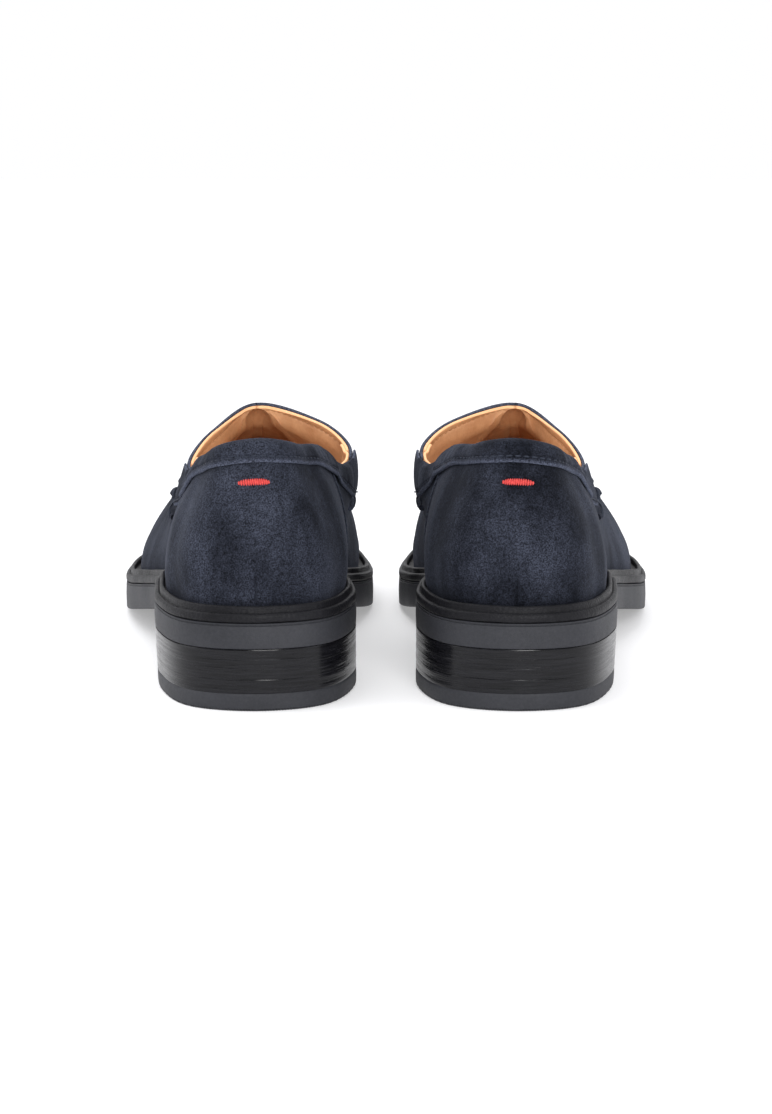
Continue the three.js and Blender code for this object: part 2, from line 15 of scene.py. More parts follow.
import bpy
import numpy as np
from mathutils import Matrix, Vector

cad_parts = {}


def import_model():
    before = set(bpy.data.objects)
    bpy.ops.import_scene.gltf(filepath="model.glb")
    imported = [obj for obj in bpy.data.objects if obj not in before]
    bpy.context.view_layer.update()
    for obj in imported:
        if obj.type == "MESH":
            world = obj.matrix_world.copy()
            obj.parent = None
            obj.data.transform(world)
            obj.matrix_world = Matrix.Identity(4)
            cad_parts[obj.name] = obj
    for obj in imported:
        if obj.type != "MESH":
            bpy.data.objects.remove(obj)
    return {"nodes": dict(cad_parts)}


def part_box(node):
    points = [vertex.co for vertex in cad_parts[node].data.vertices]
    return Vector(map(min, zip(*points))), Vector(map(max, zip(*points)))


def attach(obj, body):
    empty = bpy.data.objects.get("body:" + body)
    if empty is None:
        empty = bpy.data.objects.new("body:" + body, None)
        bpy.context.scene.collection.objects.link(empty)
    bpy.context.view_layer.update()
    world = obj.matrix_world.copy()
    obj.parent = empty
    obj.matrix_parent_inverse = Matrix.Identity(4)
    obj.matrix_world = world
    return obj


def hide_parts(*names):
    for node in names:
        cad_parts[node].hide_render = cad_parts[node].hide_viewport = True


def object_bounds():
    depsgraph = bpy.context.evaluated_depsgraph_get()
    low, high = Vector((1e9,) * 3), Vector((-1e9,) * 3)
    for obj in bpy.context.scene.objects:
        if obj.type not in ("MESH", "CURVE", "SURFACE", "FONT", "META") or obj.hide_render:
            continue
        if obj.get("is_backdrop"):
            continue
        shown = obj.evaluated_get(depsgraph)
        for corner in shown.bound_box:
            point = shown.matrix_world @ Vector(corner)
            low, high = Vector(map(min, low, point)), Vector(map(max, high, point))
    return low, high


LOG = logging.getLogger("loafers")
Array = np.ndarray
Heights = Callable[[Array], Array]

# ---------------------------------------------------------------- sizes, in millimetres

HEEL_SPACING = 91.4
TOE_OUT = 3.0
CLEARANCE = 0.3
TOP_PIECE = 6.3
LIFT = 4.9
LIFTS = 3
HEEL_LENGTH = 76.0
SOLE_AT_HEEL = 9.3
SOLE_AT_BALL = 12.0
TREAD_START = 228.0
WAIST_HOLLOW = 18.0
SPRING_START = 244.0
TOE_SPRING = 8.0
SHOE_LENGTH = 301.5
WELT = 3.2
WELT_INSIDE = 3.6
MARGIN_AT_HEEL = 5.8
MARGIN_AT_BALL = 6.5
BOARD = 2.5
FOAM = 3.0
SUEDE = 1.2
LAP = SUEDE + CLEARANCE
WELT_TO_UPPER = 0.4
STACK_TOP = TOP_PIECE + LIFTS * (LIFT + CLEARANCE)
COLLAR_GAP = 0.35
LINING_GAP = 0.15
LINING = 1.2
LINING_ROW = 3.2
TONGUE_FULLNESS = 3.5
SEAM_PITCH = 3.6
NO_EDGE = 1000.0

# Stations run round the shoe: 0 at the back of the heel and 12 at the tip of the toe. Those of the inner side
# are negative, or over 12.
TONGUE = 7
TOE = 12
ROUND = 2 * TOE
COLLAR_END = 4.75
COVER_END = 3.0
VAMP_START = 2.35
APRON_START = 4.48
VAMP_LINING_START = 4.8
QUARTER_LINING_END = 5.1

# The share of the way up the wall at which the vamp and the heel cover end, under the collar band.
UNDER_COLLAR = 0.97

# Each row: the feather line's x and y, the top's x, y and z, how the wall leaves the feather line (out, up),
# and how it arrives at the top (from outside, from below).
BACK = (0, 5, 0, 12, 95.5, 6, 24, 4, 20)
OUTER_SIDE = (
    (20.5, 12.5, 11, 18.5, 92.8, 6.5, 23, 6, 20),
    (29.9, 36.5, 16.2, 38, 86.1, 2, 18, 9, 18),
    (32.1, 65, 20, 62, 76.8, 0.8, 14, 9, 13),
    (32.3, 97, 23.7, 88, 72.5, 3, 12, 4, 13),
    (36, 122, 26, 113, 76.5, 2.5, 12, 4, 13),
    (41.5, 144, 17, 129, 86, 2.5, 13, 3, 11),
    (46.3, 165, -0.8, 146, 94.8, 2.5, 14, 11, 0),
    (49.5, 197, -0.5, 172, 82, 3, 16, 17, 0),
    (48.3, 229, 0, 202, 68, 3.5, 18, 21, 0.7),
    (40, 259, 0, 232, 57.5, 3.5, 18, 18, 1.2),
    (26, 284, 0, 259, 50.5, 3, 17, 15, 3),
)
TOE_TIP = (0, 295, 0, 272, 47, 2.5, 16, 12, 3)
INNER_SIDE = (
    (-20.5, 12.5, -9.5, 16.5, 94.4, 6.5, 23, 6, 20),
    (-30.2, 37, -16.5, 36, 90, 5.5, 18, 10, 17),
    (-30.8, 64, -21.5, 62, 85.5, 4.5, 15, 11, 12),
    (-27.5, 97, -34.5, 90, 76.5, 4, 17, 5, 16),
    (-29.5, 124, -37.5, 114, 81.5, 6, 18, 5, 15),
    (-33.5, 147, -25.7, 129, 89.8, 6.5, 20, 12, 13),
    (-39, 168, -0.8, 146, 94.8, 5.5, 22, 22, 0),
    (-44, 200, -0.5, 172, 82, 4, 25, 25, 0),
    (-43.5, 233, 0, 202, 68, 4, 22, 22, 0.7),
    (-38.5, 262, 0, 232, 57.5, 3.5, 20, 18, 1.2),
    (-26, 286, 0, 259, 50.5, 3, 18, 14, 3),
)


def smooth(start: float, end: float, x: Array) -> Array:
    """A smooth step from 0 at start to 1 at end."""
    t = np.clip((np.asarray(x, float) - start) / (end - start), 0, 1)
    return t * t * (3 - 2 * t)


def bell(x: Array, width: float) -> Array:
    """A bump of height 1 at 0 that fades away over a width on both sides."""
    return np.exp(-((x / width) ** 2))


def unit(vectors: Array) -> Array:
    """Vectors in the same directions, with a length of 1."""
    return vectors / np.maximum(np.linalg.norm(vectors, axis=-1, keepdims=True), 1e-9)


def travelled(line: Array) -> Array:
    """The distance along a line at each of its points."""
    return np.concatenate([[0], np.cumsum(np.linalg.norm(np.diff(line, axis=0), axis=-1))])


def underside(y: Array) -> Array:
    """Height of the outsole's underside above the floor, at a distance y from the back of the heel."""
    along = np.clip((np.asarray(y) - HEEL_LENGTH) / (TREAD_START - HEEL_LENGTH), 0, 1)
    hollow = WAIST_HOLLOW * along * (1 - along) ** 2
    heel = (STACK_TOP + CLEARANCE) * (1 - smooth(HEEL_LENGTH, TREAD_START, y)) - hollow
    toe = np.maximum(0, (np.asarray(y) - SPRING_START) / (SHOE_LENGTH - SPRING_START))
    return heel + TOE_SPRING * toe**2


def sole_top(y: Array) -> Array:
    """Height of the outsole's upper face."""
    return underside(y) + SOLE_AT_HEEL + (SOLE_AT_BALL - SOLE_AT_HEEL) * smooth(HEEL_LENGTH, TREAD_START, y)


def welt_top(y: Array) -> Array:
    """Height of the welt's upper face."""
    return sole_top(y) + CLEARANCE + WELT


def feather_height(y: Array) -> Array:
    """Height of the line where the upper meets the welt."""
    return welt_top(y) + WELT_TO_UPPER


def sock_height(y: Array) -> Array:
    """Height of the sock lining's underside."""
    return welt_top(y) + CLEARANCE + BOARD + CLEARANCE + FOAM + CLEARANCE


def wrap(station: Array) -> Array:
    """A station brought into the range from -12 to 12."""
    return np.mod(np.asarray(station, float) + TOE, ROUND) - TOE


def side_of(station: Array) -> Array:
    """How far round from the back of the heel a station is, on either side."""
    return np.abs(wrap(station))


def margin(station: Array) -> Array:
    """How far the welt and sole stand out past the upper."""
    return MARGIN_AT_HEEL + (MARGIN_AT_BALL - MARGIN_AT_HEEL) * smooth(3, 8, side_of(station))


def seam_height(station: Array) -> Array:
    """The seam between vamp and apron, as a share of the way up the wall."""
    side = side_of(station)
    round_toe = 0.12 * smooth(6.8, 10.5, side) + 0.3 * np.maximum(0, (side - 10.2) / 1.8) ** 2
    return 0.43 + 0.12 * (1 - smooth(4.6, 7, side)) + round_toe


def collar_edge(station: Array) -> Array:
    """The collar band's lower edge, as a share of the way up the wall."""
    side = side_of(station)
    return 0.855 - 0.1 * smooth(1.8, 3.1, side) - 0.19 * smooth(3.6, 5.3, side)


def cover_lap(station: Array) -> Array:
    """How far the heel cover stands out where it laps over the vamp."""
    return LAP * smooth(1.6, 2.2, side_of(station))


def collar_base(station: Array) -> Array:
    """How far outside the upper the collar band's inner side lies."""
    return cover_lap(station) * (1 - smooth(3.1, 3.6, side_of(station))) + COLLAR_GAP


def spline(rows: Array, u: Array, closed: bool) -> Array:
    """A uniform curve through rows.

    Args:
        rows: the points, one a row.
        u: places along the curve, where 1 is the second row.
        closed: whether the last row joins the first.

    Returns:
        The curve's points, in u's shape and one dimension more.
    """
    count = len(rows)
    if closed:
        start = np.floor(u).astype(int)
        picked = [rows[(start + i) % count] for i in (-1, 0, 1, 2)]
    else:
        start = np.clip(np.floor(u).astype(int), 0, count - 2)
        longer = np.vstack([2 * rows[0] - rows[1], rows, 2 * rows[-1] - rows[-2]])
        picked = [longer[start + i] for i in range(4)]
    a, b, c, d = picked
    t = (u - start)[..., None]
    leave, arrive = (c - a) / 2, (d - b) / 2
    return (
        b * (2 * t**3 - 3 * t**2 + 1)
        + c * (3 * t**2 - 2 * t**3)
        + leave * (t**3 - 2 * t**2 + t)
        + arrive * (t**3 - t**2)
    )


def noise(points: Array, size: float, seed: int = 0) -> Array:
    """Smooth lumps, between -1 and 1.

    Args:
        points: where, in millimetres, with x, y and z last.
        size: how far apart the lumps are.
        seed: which lumps.

    Returns:
        One value a point.
    """
    p = np.asarray(points) / size + 137.0
    base = np.floor(p).astype(np.int64)
    t = p - base
    t = t * t * (3 - 2 * t)
    total = np.zeros(p.shape[:-1])
    for i in (0, 1):
        for j in (0, 1):
            for k in (0, 1):
                h = (base[..., 0] + i) * 73856093 ^ (base[..., 1] + j) * 19349663
                h = (h ^ (base[..., 2] + k) * 83492791 ^ seed * 2654435761) & 0xFFFFFFFF
                h = ((h ^ (h >> 15)) * 2246822519) & 0xFFFFFFFF
                h = ((h ^ (h >> 13)) * 3266489917) & 0xFFFFFFFF
                value = ((h ^ (h >> 16)) & 0xFFFF) / 32767.5 - 1
                x = t[..., 0] if i else 1 - t[..., 0]
                y = t[..., 1] if j else 1 - t[..., 1]
                z = t[..., 2] if k else 1 - t[..., 2]
                total += value * x * y * z
    return total


def clustered(count: int) -> Array:
    """Shares from 0 to 1 that lie closer together towards both ends."""
    return 0.5 - 0.5 * np.cos(np.linspace(0, math.pi, count))


class Last:
    """The outer face of the upper, as a map from a station and a share of the way up to a point."""

    def __init__(self) -> None:
        """Sets up the curves that run round the shoe."""
        ring = np.array([BACK, *OUTER_SIDE, TOE_TIP, *reversed(INNER_SIDE)], float)
        sides = [BACK, *OUTER_SIDE[:TONGUE], *reversed(INNER_SIDE[: TONGUE - 1])]
        self.feather = ring[:, 0:2]
        self.leaving = ring[:, 5:7]
        self.arriving = ring[:, 7:9]
        self.topline = np.array(sides, float)[:, 2:5]
        self.ridge = np.array([*OUTER_SIDE[TONGUE - 1 :], TOE_TIP], float)[:, 2:5]

    def outline(self, station: Array, outwards: Array | float = 0.0) -> Array:
        """The feather line in plan.

        Args:
            station: places round the shoe.
            outwards: how far to move out from the line.

        Returns:
            x and y of each place.
        """
        k = np.asarray(station, float)
        ahead = spline(self.feather, np.mod(k + 0.01, ROUND), True)
        tangent = ahead - spline(self.feather, np.mod(k - 0.01, ROUND), True)
        out = unit(np.stack([tangent[..., 1], -tangent[..., 0]], -1))
        return spline(self.feather, np.mod(k, ROUND), True) + out * np.asarray(outwards)[..., None]

    def top(self, station: Array) -> Array:
        """The topline or, in front of the tongue, the ridge."""
        k = wrap(station)
        line = spline(self.topline, np.mod(np.clip(k, -TONGUE, TONGUE), 2 * TONGUE), True)
        ridge = spline(self.ridge, np.clip(np.abs(k), TONGUE, TOE) - TONGUE, False)
        return np.where((np.abs(k) <= TONGUE)[..., None], line, ridge)

    def settled(self, place: Array, normal: Array) -> Array:
        """Outward directions, evened out round the tip of the tongue, where the net's lines run side by side.

        Args:
            place: points of the upper.
            normal: the outward direction at each.

        Returns:
            The evened directions.
        """
        tip, ahead = self.ridge[0], self.ridge[1] - self.ridge[0]
        upright = np.array([0, -ahead[2], ahead[1]]) / np.hypot(ahead[1], ahead[2])
        far = smooth(3, 11, np.linalg.norm(place - tip, axis=-1))[..., None]
        return normal * far + upright * (1 - far)

    def point(self, station: Array, up: Array) -> Array:
        """Points of the upper's outer face.

        Args:
            station: places round the shoe.
            up: shares of the way from the feather line to the top.

        Returns:
            x, y and z of each place.
        """
        k, v = np.broadcast_arrays(np.asarray(station, float), np.asarray(up, float))
        foot = self.outline(k)
        out = np.zeros(k.shape + (3,))
        out[..., :2] = self.outline(k, 1.0) - foot
        leave = spline(self.leaving, np.mod(k, ROUND), True)
        arrive = spline(self.arriving, np.mod(k, ROUND), True)
        start = np.concatenate([foot, feather_height(foot[..., 1])[..., None]], -1)
        end = self.top(k)
        up_axis = np.array([0, 0, 1.0])
        second = start + out * leave[..., :1] + up_axis * leave[..., 1:]
        third = end + out * arrive[..., :1] - up_axis * arrive[..., 1:]
        t = v[..., None]
        s = 1 - t
        return s**3 * start + 3 * s * s * t * second + 3 * s * t * t * third + t**3 * end


LAST = Last()


# ---------------------------------------------------------------- meshes


@dataclass
class Shape:
    """Points in millimetres and the faces over them."""

    points: Array
    faces: list[tuple[int, ...]]
    # how much each point is lightened near an edge: a painted highlight on suede, the paler bare cut edge on
    # the lining
    fuzz_highlight_and_raw_edge: Array | None = None

    @staticmethod
    def joined(shapes: Sequence["Shape"]) -> "Shape":
        """Several shapes as one."""
        faces: list[tuple[int, ...]] = []
        start = 0
        for shape in shapes:
            faces += [tuple(i + start for i in face) for face in shape.faces]
            start += len(shape.points)
        return Shape(np.vstack([s.points for s in shapes]), faces)


def quads_over(net: Array) -> Array:
    """The faces over a net of point numbers, anticlockwise from outside."""
    return np.stack([net[:-1, :-1], net[1:, :-1], net[1:, 1:], net[:-1, 1:]], -1).reshape(-1, 4)


def edge_fall(outer: Array, inner: Array, rim: Array, fullness: float = 0.98) -> Array:
    """How far both sides of a skin fall in at its rounded edge.

    Args:
        outer: how far out the outer side is.
        inner: how far out the inner side is.
        rim: distance from the edge.
        fullness: how much of half the skin's thickness is rounded off.

    Returns:
        The distance for each place.
    """
    radius = (outer - inner) / 2 * fullness
    return radius * (1 - np.sqrt(1 - (1 - np.clip(rim / np.maximum(radius, 1e-6), 0, 1)) ** 2))


def skin(outside: Array, inside: Array, quads: Array, fuzz_highlight_and_raw_edge: Array | None = None) -> Shape:
    """A closed skin over the points of its two sides.

    Args:
        outside: the outer side's points.
        inside: the inner side's points, in the same order.
        quads: the faces over a side, anticlockwise from outside.
        fuzz_highlight_and_raw_edge: how much each point of a side is lightened near an edge (a painted
            highlight on suede, the paler cut edge on the lining), if that is known.

    Returns:
        The skin's shape.
    """
    count = len(outside)
    edges = np.concatenate([quads[:, [i, (i + 1) % 4]] for i in range(4)])
    codes = edges[:, 0] * count + edges[:, 1]
    back = edges[:, 1] * count + edges[:, 0]
    rims = edges[~np.isin(back, codes) & (edges[:, 0] != edges[:, 1])]
    walls = np.stack([rims[:, 1], rims[:, 0], rims[:, 0] + count, rims[:, 1] + count], -1)
    faces = np.concatenate([quads, quads[:, ::-1] + count, walls])
    both = None if fuzz_highlight_and_raw_edge is None else np.concatenate([fuzz_highlight_and_raw_edge, fuzz_highlight_and_raw_edge])
    return compact(np.vstack([outside, inside]), faces, both)


class Grid:
    """A net of places on the upper, with its distances from each edge."""

    def __init__(self, stations: Array, low: Array, high: Array, rows: int) -> None:
        """Lays the net.

        Args:
            stations: places round the shoe, rising.
            low: the lower edge's share of the way up, at each station.
            high: the upper edge's share.
            rows: how many places from the lower edge to the upper one.
        """
        share = clustered(rows)
        low, high = np.broadcast_to(low, stations.shape), np.broadcast_to(high, stations.shape)
        self.station = np.repeat(stations[:, None], rows, 1)
        self.up = low[:, None] + (high - low)[:, None] * share
        self.place = LAST.point(self.station, self.up)
        self.share = np.repeat(share[None], len(stations), 0)
        self.below = self._along(self.place, 1)
        self.above = self.below[:, -1:] - self.below
        self.behind = self._along(self.place, 0)
        self.ahead = self.behind[-1:] - self.behind
        self.number = np.arange(self.station.size).reshape(self.station.shape)
        self._join_ridge()
        self.quads = quads_over(self.number)
        self.normal = self._normals()

    @staticmethod
    def _along(place: Array, axis: int) -> Array:
        """Distance from the first place along an axis of the net."""
        step = np.linalg.norm(np.diff(place, axis=axis), axis=-1)
        first = np.zeros_like(np.take(step, [0], axis))
        return np.concatenate([first, np.cumsum(step, axis)], axis)

    def _join_ridge(self) -> None:
        """Gives the two sides one set of points where they meet on the ridge."""
        count = len(self.number)
        symmetric = np.allclose(self.station[:, 0] + self.station[::-1, 0], ROUND)
        if not symmetric:
            return
        for i in range(count // 2):
            if side_of(self.station[i, 0]) >= TONGUE - 1e-6 and self.up[i, -1] > 0.999:
                self.number[count - 1 - i, -1] = self.number[i, -1]

    def _normals(self) -> Array:
        """The outward direction at each place."""
        flat = self.place.reshape(-1, 3)
        a, b, c, d = (flat[self.quads[:, i]] for i in range(4))
        across = np.cross(c - a, d - b)
        total = np.zeros_like(flat)
        for i in range(4):
            np.add.at(total, self.quads[:, i], across)
        total = total[self.number].reshape(self.place.shape)
        total = LAST.settled(self.place, unit(total))
        total[self.up < 0.03, 2] = 0
        return unit(total)

    def edge(self, below: bool = True, above: bool = True, ends: bool = True) -> Array:
        """Distance from the nearest of the chosen edges."""
        choices = [np.full(self.station.shape, NO_EDGE)]
        if below:
            choices.append(self.below)
        if above:
            choices.append(self.above)
        if ends:
            choices += [self.behind, self.ahead]
        return np.minimum.reduce(choices)

    def solid(self, outer: Array | float, inner: Array | float, rim: Array | None = None) -> Shape:
        """The closed skin between two distances from the outer face.

        Args:
            outer: how far out the outer side is.
            inner: how far out the inner side is.
            rim: distance from the edges that are rounded off, if any are.

        Returns:
            The skin's shape.
        """
        outer = np.broadcast_to(np.asarray(outer, float), self.station.shape).copy()
        inner = np.broadcast_to(np.asarray(inner, float), self.station.shape).copy()
        fuzz_highlight_and_raw_edge = None
        if rim is not None:
            fall = edge_fall(outer, inner, rim)
            outer, inner = outer - fall, inner + fall
            # Lightening at the edges: on suede a painted highlight where the cut fuzz catches the light; on
            # the lining the paler colour of the bare cut edge.
            fuzz_highlight_and_raw_edge = bell(rim, 0.9).ravel()
        outside = (self.place + self.normal * outer[..., None]).reshape(-1, 3)
        inside = (self.place + self.normal * inner[..., None]).reshape(-1, 3)
        return skin(outside, inside, self.quads, fuzz_highlight_and_raw_edge)


def compact(points: Array, faces: Array, fuzz_highlight_and_raw_edge: Array | None = None) -> Shape:
    """A shape without unused points or repeated corners.

    Args:
        points: all the points.
        faces: the faces, whose corners may coincide.
        fuzz_highlight_and_raw_edge: how much each point is lightened near an edge, if that is known.

    Returns:
        The shape.
    """
    used = np.unique(faces)
    lookup = np.zeros(len(points), int)
    lookup[used] = np.arange(len(used))
    kept = []
    for face in lookup[faces].tolist():
        corners = tuple(dict.fromkeys(face))
        if len(corners) > 2:
            kept.append(corners)
    return Shape(points[used], kept, None if fuzz_highlight_and_raw_edge is None else fuzz_highlight_and_raw_edge[used])


def stations(start: float, end: float, spacing: float = 0.05) -> Array:
    """Evenly spaced stations, both ends included."""
    return np.linspace(start, end, int(round((end - start) / spacing)) + 1)


class Ring:
    """A solid that runs round the feather line, such as a welt or a sole."""

    def __init__(self, spacing: float, low: Heights, high: Heights, grow: float = 0.0) -> None:
        """Sets how finely the ring is cut and where it lies.

        Args:
            spacing: between cuts, in stations.
            low: height of its lower face along the shoe.
            high: height of its upper face.
            grow: how much further out than the welt's edge it stands.
        """
        self.stations = np.arange(0, ROUND, spacing)
        self.low, self.high, self.grow = low, high, grow

    def cut(self, outset: Array, share: Array, lift: Array) -> Array:
        """Points of the ring for a profile.

        Args:
            outset: how far out of the edge each profile point is.
            share: how far from the lower to the upper face.
            lift: how much higher than that.

        Returns:
            Points by station and profile point.
        """
        k = np.repeat(self.stations[:, None], len(outset), 1)
        plan = LAST.outline(k, margin(k) + self.grow + outset)
        low, high = self.low(plan[..., 1]), self.high(plan[..., 1])
        z = low + (high - low) * share + lift
        return np.concatenate([plan, z[..., None]], -1)

    def slab(self, profile: Sequence[tuple[float, float, float]], across: int = 16) -> Shape:
        """A layer with a profiled edge and two full faces.

        Args:
            profile: (outset, share, lift) from the lower face's edge to the upper face's.
            across: how many strips each full face has from side to side.

        Returns:
            The layer's shape.
        """
        outset, share, lift = (np.array(v) for v in zip(*profile))
        wall = self.cut(outset, share, lift)
        count, steps = wall.shape[:2]
        points = [wall.reshape(-1, 3)]
        number = np.arange(count * steps).reshape(count, steps)
        after = np.roll(number, -1, 0)
        faces = np.stack([number[:, :-1], after[:, :-1], after[:, 1:], number[:, 1:]], -1).reshape(-1, 4)
        all_faces = [faces]
        start = count * steps
        half = count // 2
        for column, height, up in ((0, self.low, False), (steps - 1, self.high, True)):
            rungs = []
            for j in range(half + 1):
                a, b = number[j % count, column], number[(count - j) % count, column]
                if a == b:
                    rungs.append(np.full(across + 1, a))
                    continue
                share_across = np.linspace(0, 1, across + 1)[1:-1, None]
                inner = points[0][a] * (1 - share_across) + points[0][b] * share_across
                middle = height(inner[:, 1]) + (wall[0, column, 2] - height(wall[0, column, 1]))
                inner[:, 2] = middle
                rungs.append(np.concatenate([[a], np.arange(start, start + across - 1), [b]]))
                start += across - 1
                points.append(inner)
            net = np.array(rungs)
            quads = np.stack([net[:-1, :-1], net[:-1, 1:], net[1:, 1:], net[1:, :-1]], -1).reshape(-1, 4)
            all_faces.append(quads[:, ::-1] if up else quads)
        return compact(np.vstack(points), np.concatenate(all_faces))

    def loop(self, profile: Sequence[tuple[float, float, float]]) -> Shape:
        """A ring whose profile closes on itself, given anticlockwise with out to the right."""
        outset, share, lift = (np.array(v) for v in zip(*profile))
        wall = self.cut(outset, share, lift)
        number = np.arange(wall.shape[0] * wall.shape[1]).reshape(wall.shape[:2])
        after, up = np.roll(number, -1, 0), np.roll(number, -1, 1)
        both = np.roll(after, -1, 1)
        faces = np.stack([number, after, both, up], -1).reshape(-1, 4)
        return compact(wall.reshape(-1, 3), faces)


def placed(name: str, data: bpy.types.ID) -> bpy.types.Object:
    """A new object in the scene that shows a mesh, a light or a camera."""
    thing = bpy.data.objects.new(name, data)
    bpy.context.collection.objects.link(thing)
    return thing


# ---------------------------------------------------------------- finishes


class Nodes:
    """Short ways to wire a material's nodes."""

    def __init__(self, name: str) -> None:
        """Starts a material with a plain shader."""
        self.material = bpy.data.materials.new(f"{name}_finish")
        self.material.use_nodes = True
        self.tree = self.material.node_tree
        self.shader = self.tree.nodes["Principled BSDF"]
        self.where = self.tree.nodes.new("ShaderNodeTexCoord").outputs["Object"]

    def link(self, source: bpy.types.NodeSocket, target: bpy.types.NodeSocket) -> None:
        """Joins two sockets."""
        self.tree.links.new(source, target)

    def stretched(self, scale: tuple[float, float, float]) -> bpy.types.NodeSocket:
        """The place on the object, scaled along each axis."""
        node = self.tree.nodes.new("ShaderNodeMapping")
        node.inputs["Scale"].default_value = scale
        self.link(self.where, node.inputs["Vector"])
        return node.outputs[0]

    def noise(
        self, size_mm: float, detail: float = 3, rough: float = 0.5, place: bpy.types.NodeSocket | None = None
    ) -> bpy.types.NodeSocket:
        """Lumps of a size.

        Args:
            size_mm: how far apart they are.
            detail: how many finer layers they have.
            rough: how strong those layers are.
            place: where the lumps are looked up, if not on the object.

        Returns:
            A value from 0 to 1.
        """
        node = self.tree.nodes.new("ShaderNodeTexNoise")
        node.inputs["Scale"].default_value = 1000.0 / size_mm
        node.inputs["Detail"].default_value = detail
        node.inputs["Roughness"].default_value = rough
        self.link(place or self.where, node.inputs["Vector"])
        return node.outputs[0]

    def cells(self, size_mm: float, feature: str = "F1") -> bpy.types.NodeSocket:
        """Distance to the nearest of many scattered points."""
        node = self.tree.nodes.new("ShaderNodeTexVoronoi")
        node.feature = feature
        node.inputs["Scale"].default_value = 1000.0 / size_mm
        self.link(self.where, node.inputs["Vector"])
        return node.outputs["Distance"]

    def ramp(
        self,
        value: bpy.types.NodeSocket,
        low: float,
        high: float,
        out_low: float = 0.0,
        out_high: float = 1.0,
    ) -> bpy.types.NodeSocket:
        """A value spread from one range to another, and held at its ends."""
        node = self.tree.nodes.new("ShaderNodeMapRange")
        names = "From Min", "From Max", "To Min", "To Max"
        for name, number in zip(names, (low, high, out_low, out_high)):
            node.inputs[name].default_value = number
        self.link(value, node.inputs["Value"])
        return node.outputs[0]

    def sum(self, parts: Sequence[tuple[bpy.types.NodeSocket, float]]) -> bpy.types.NodeSocket:
        """Several values, each times its weight, added up."""
        total = None
        for value, weight in parts:
            node = self.tree.nodes.new("ShaderNodeMath")
            node.operation = "MULTIPLY_ADD"
            node.inputs[1].default_value = weight
            node.inputs[2].default_value = 0.0
            self.link(value, node.inputs[0])
            if total is not None:
                self.link(total, node.inputs[2])
            total = node.outputs[0]
        return total

    def blend(self, share: bpy.types.NodeSocket, first: object, second: object) -> bpy.types.NodeSocket:
        """Two colours mixed by a share."""
        node = self.tree.nodes.new("ShaderNodeMix")
        node.data_type = "RGBA"
        self.link(share, node.inputs[0])
        for socket, colour in ((node.inputs[6], first), (node.inputs[7], second)):
            if isinstance(colour, tuple):
                socket.default_value = (*colour, 1.0)
            else:
                self.link(colour, socket)
        return node.outputs[2]

    def attribute(self, name: str) -> bpy.types.NodeSocket:
        """A value kept in the mesh, such as how much an edge is lightened by a painted highlight or a paler
        cut edge.
        """
        node = self.tree.nodes.new("ShaderNodeAttribute")
        node.attribute_name = name
        return node.outputs["Fac"]

    def tinted(self, colour: bpy.types.NodeSocket, strength: bpy.types.NodeSocket) -> bpy.types.NodeSocket:
        """A colour times a strength."""
        node = self.tree.nodes.new("ShaderNodeVectorMath")
        node.operation = "SCALE"
        self.link(colour, node.inputs[0])
        self.link(strength, node.inputs["Scale"])
        return node.outputs[0]

    def colour(self, source: bpy.types.NodeSocket) -> None:
        """Colours the surface."""
        self.link(source, self.shader.inputs["Base Color"])

    def rough(self, source: bpy.types.NodeSocket) -> None:
        """Sets how rough the surface is, place by place."""
        self.link(source, self.shader.inputs["Roughness"])

    def bump(self, height: bpy.types.NodeSocket, depth_mm: float, strength: float = 1.0) -> None:
        """Raises the surface by a height from 0 to 1, times a depth."""
        node = self.tree.nodes.new("ShaderNodeBump")
        node.inputs["Distance"].default_value = depth_mm / 1000
        node.inputs["Strength"].default_value = strength
        self.link(height, node.inputs["Height"])
        self.link(node.outputs[0], self.shader.inputs["Normal"])

    def set(self, **values: object) -> None:
        """Sets the shader's own sockets, with spaces in their names written as underscores."""
        for name, value in values.items():
            self.shader.inputs[name.replace("_", " ")].default_value = value


@dataclass(frozen=True)
class SuedeFinish:
    """Brushed suede, whose nap lies lighter and darker in patches, with a painted highlight along its cut
    edges.
    """

    name: str
    dark: tuple[float, float, float]
    light: tuple[float, float, float]
    sheen: tuple[float, float, float]

    def build(self) -> bpy.types.Material:
        """Makes the material."""
        n = Nodes(self.name)
        patches = n.noise(30, 3, 0.5)
        streaks = n.noise(9, 3, 0.6, n.stretched((1, 1, 0.35)))
        fibre = n.noise(0.5, 1, 0.6)
        tufts = n.noise(1.6, 2, 0.6)
        lie = n.sum([(patches, 0.62), (streaks, 0.28), (tufts, 0.1)])
        base = n.blend(n.ramp(lie, 0.4, 0.64), self.dark, self.light)
        speck = n.ramp(n.sum([(fibre, 0.85), (tufts, 0.15)]), 0.34, 0.68, 0.3, 1.8)
        # Painted highlight: the cut edges lightened towards 1.9 times the light tone, as if their fuzz caught
        # the light.
        fuzz_highlight_and_raw_edge = n.blend(n.attribute("fuzz_highlight_and_raw_edge"), base, tuple(1.9 * c for c in self.light))
        n.colour(n.tinted(fuzz_highlight_and_raw_edge, speck))
        n.bump(n.sum([(fibre, 0.6), (tufts, 0.4)]), 0.35, 0.8)
        n.set(Roughness=0.95, Specular_IOR_Level=0.08, Sheen_Weight=0.06, Sheen_Roughness=0.4)
        n.set(Sheen_Tint=(*self.sheen, 1.0))
        return n.material


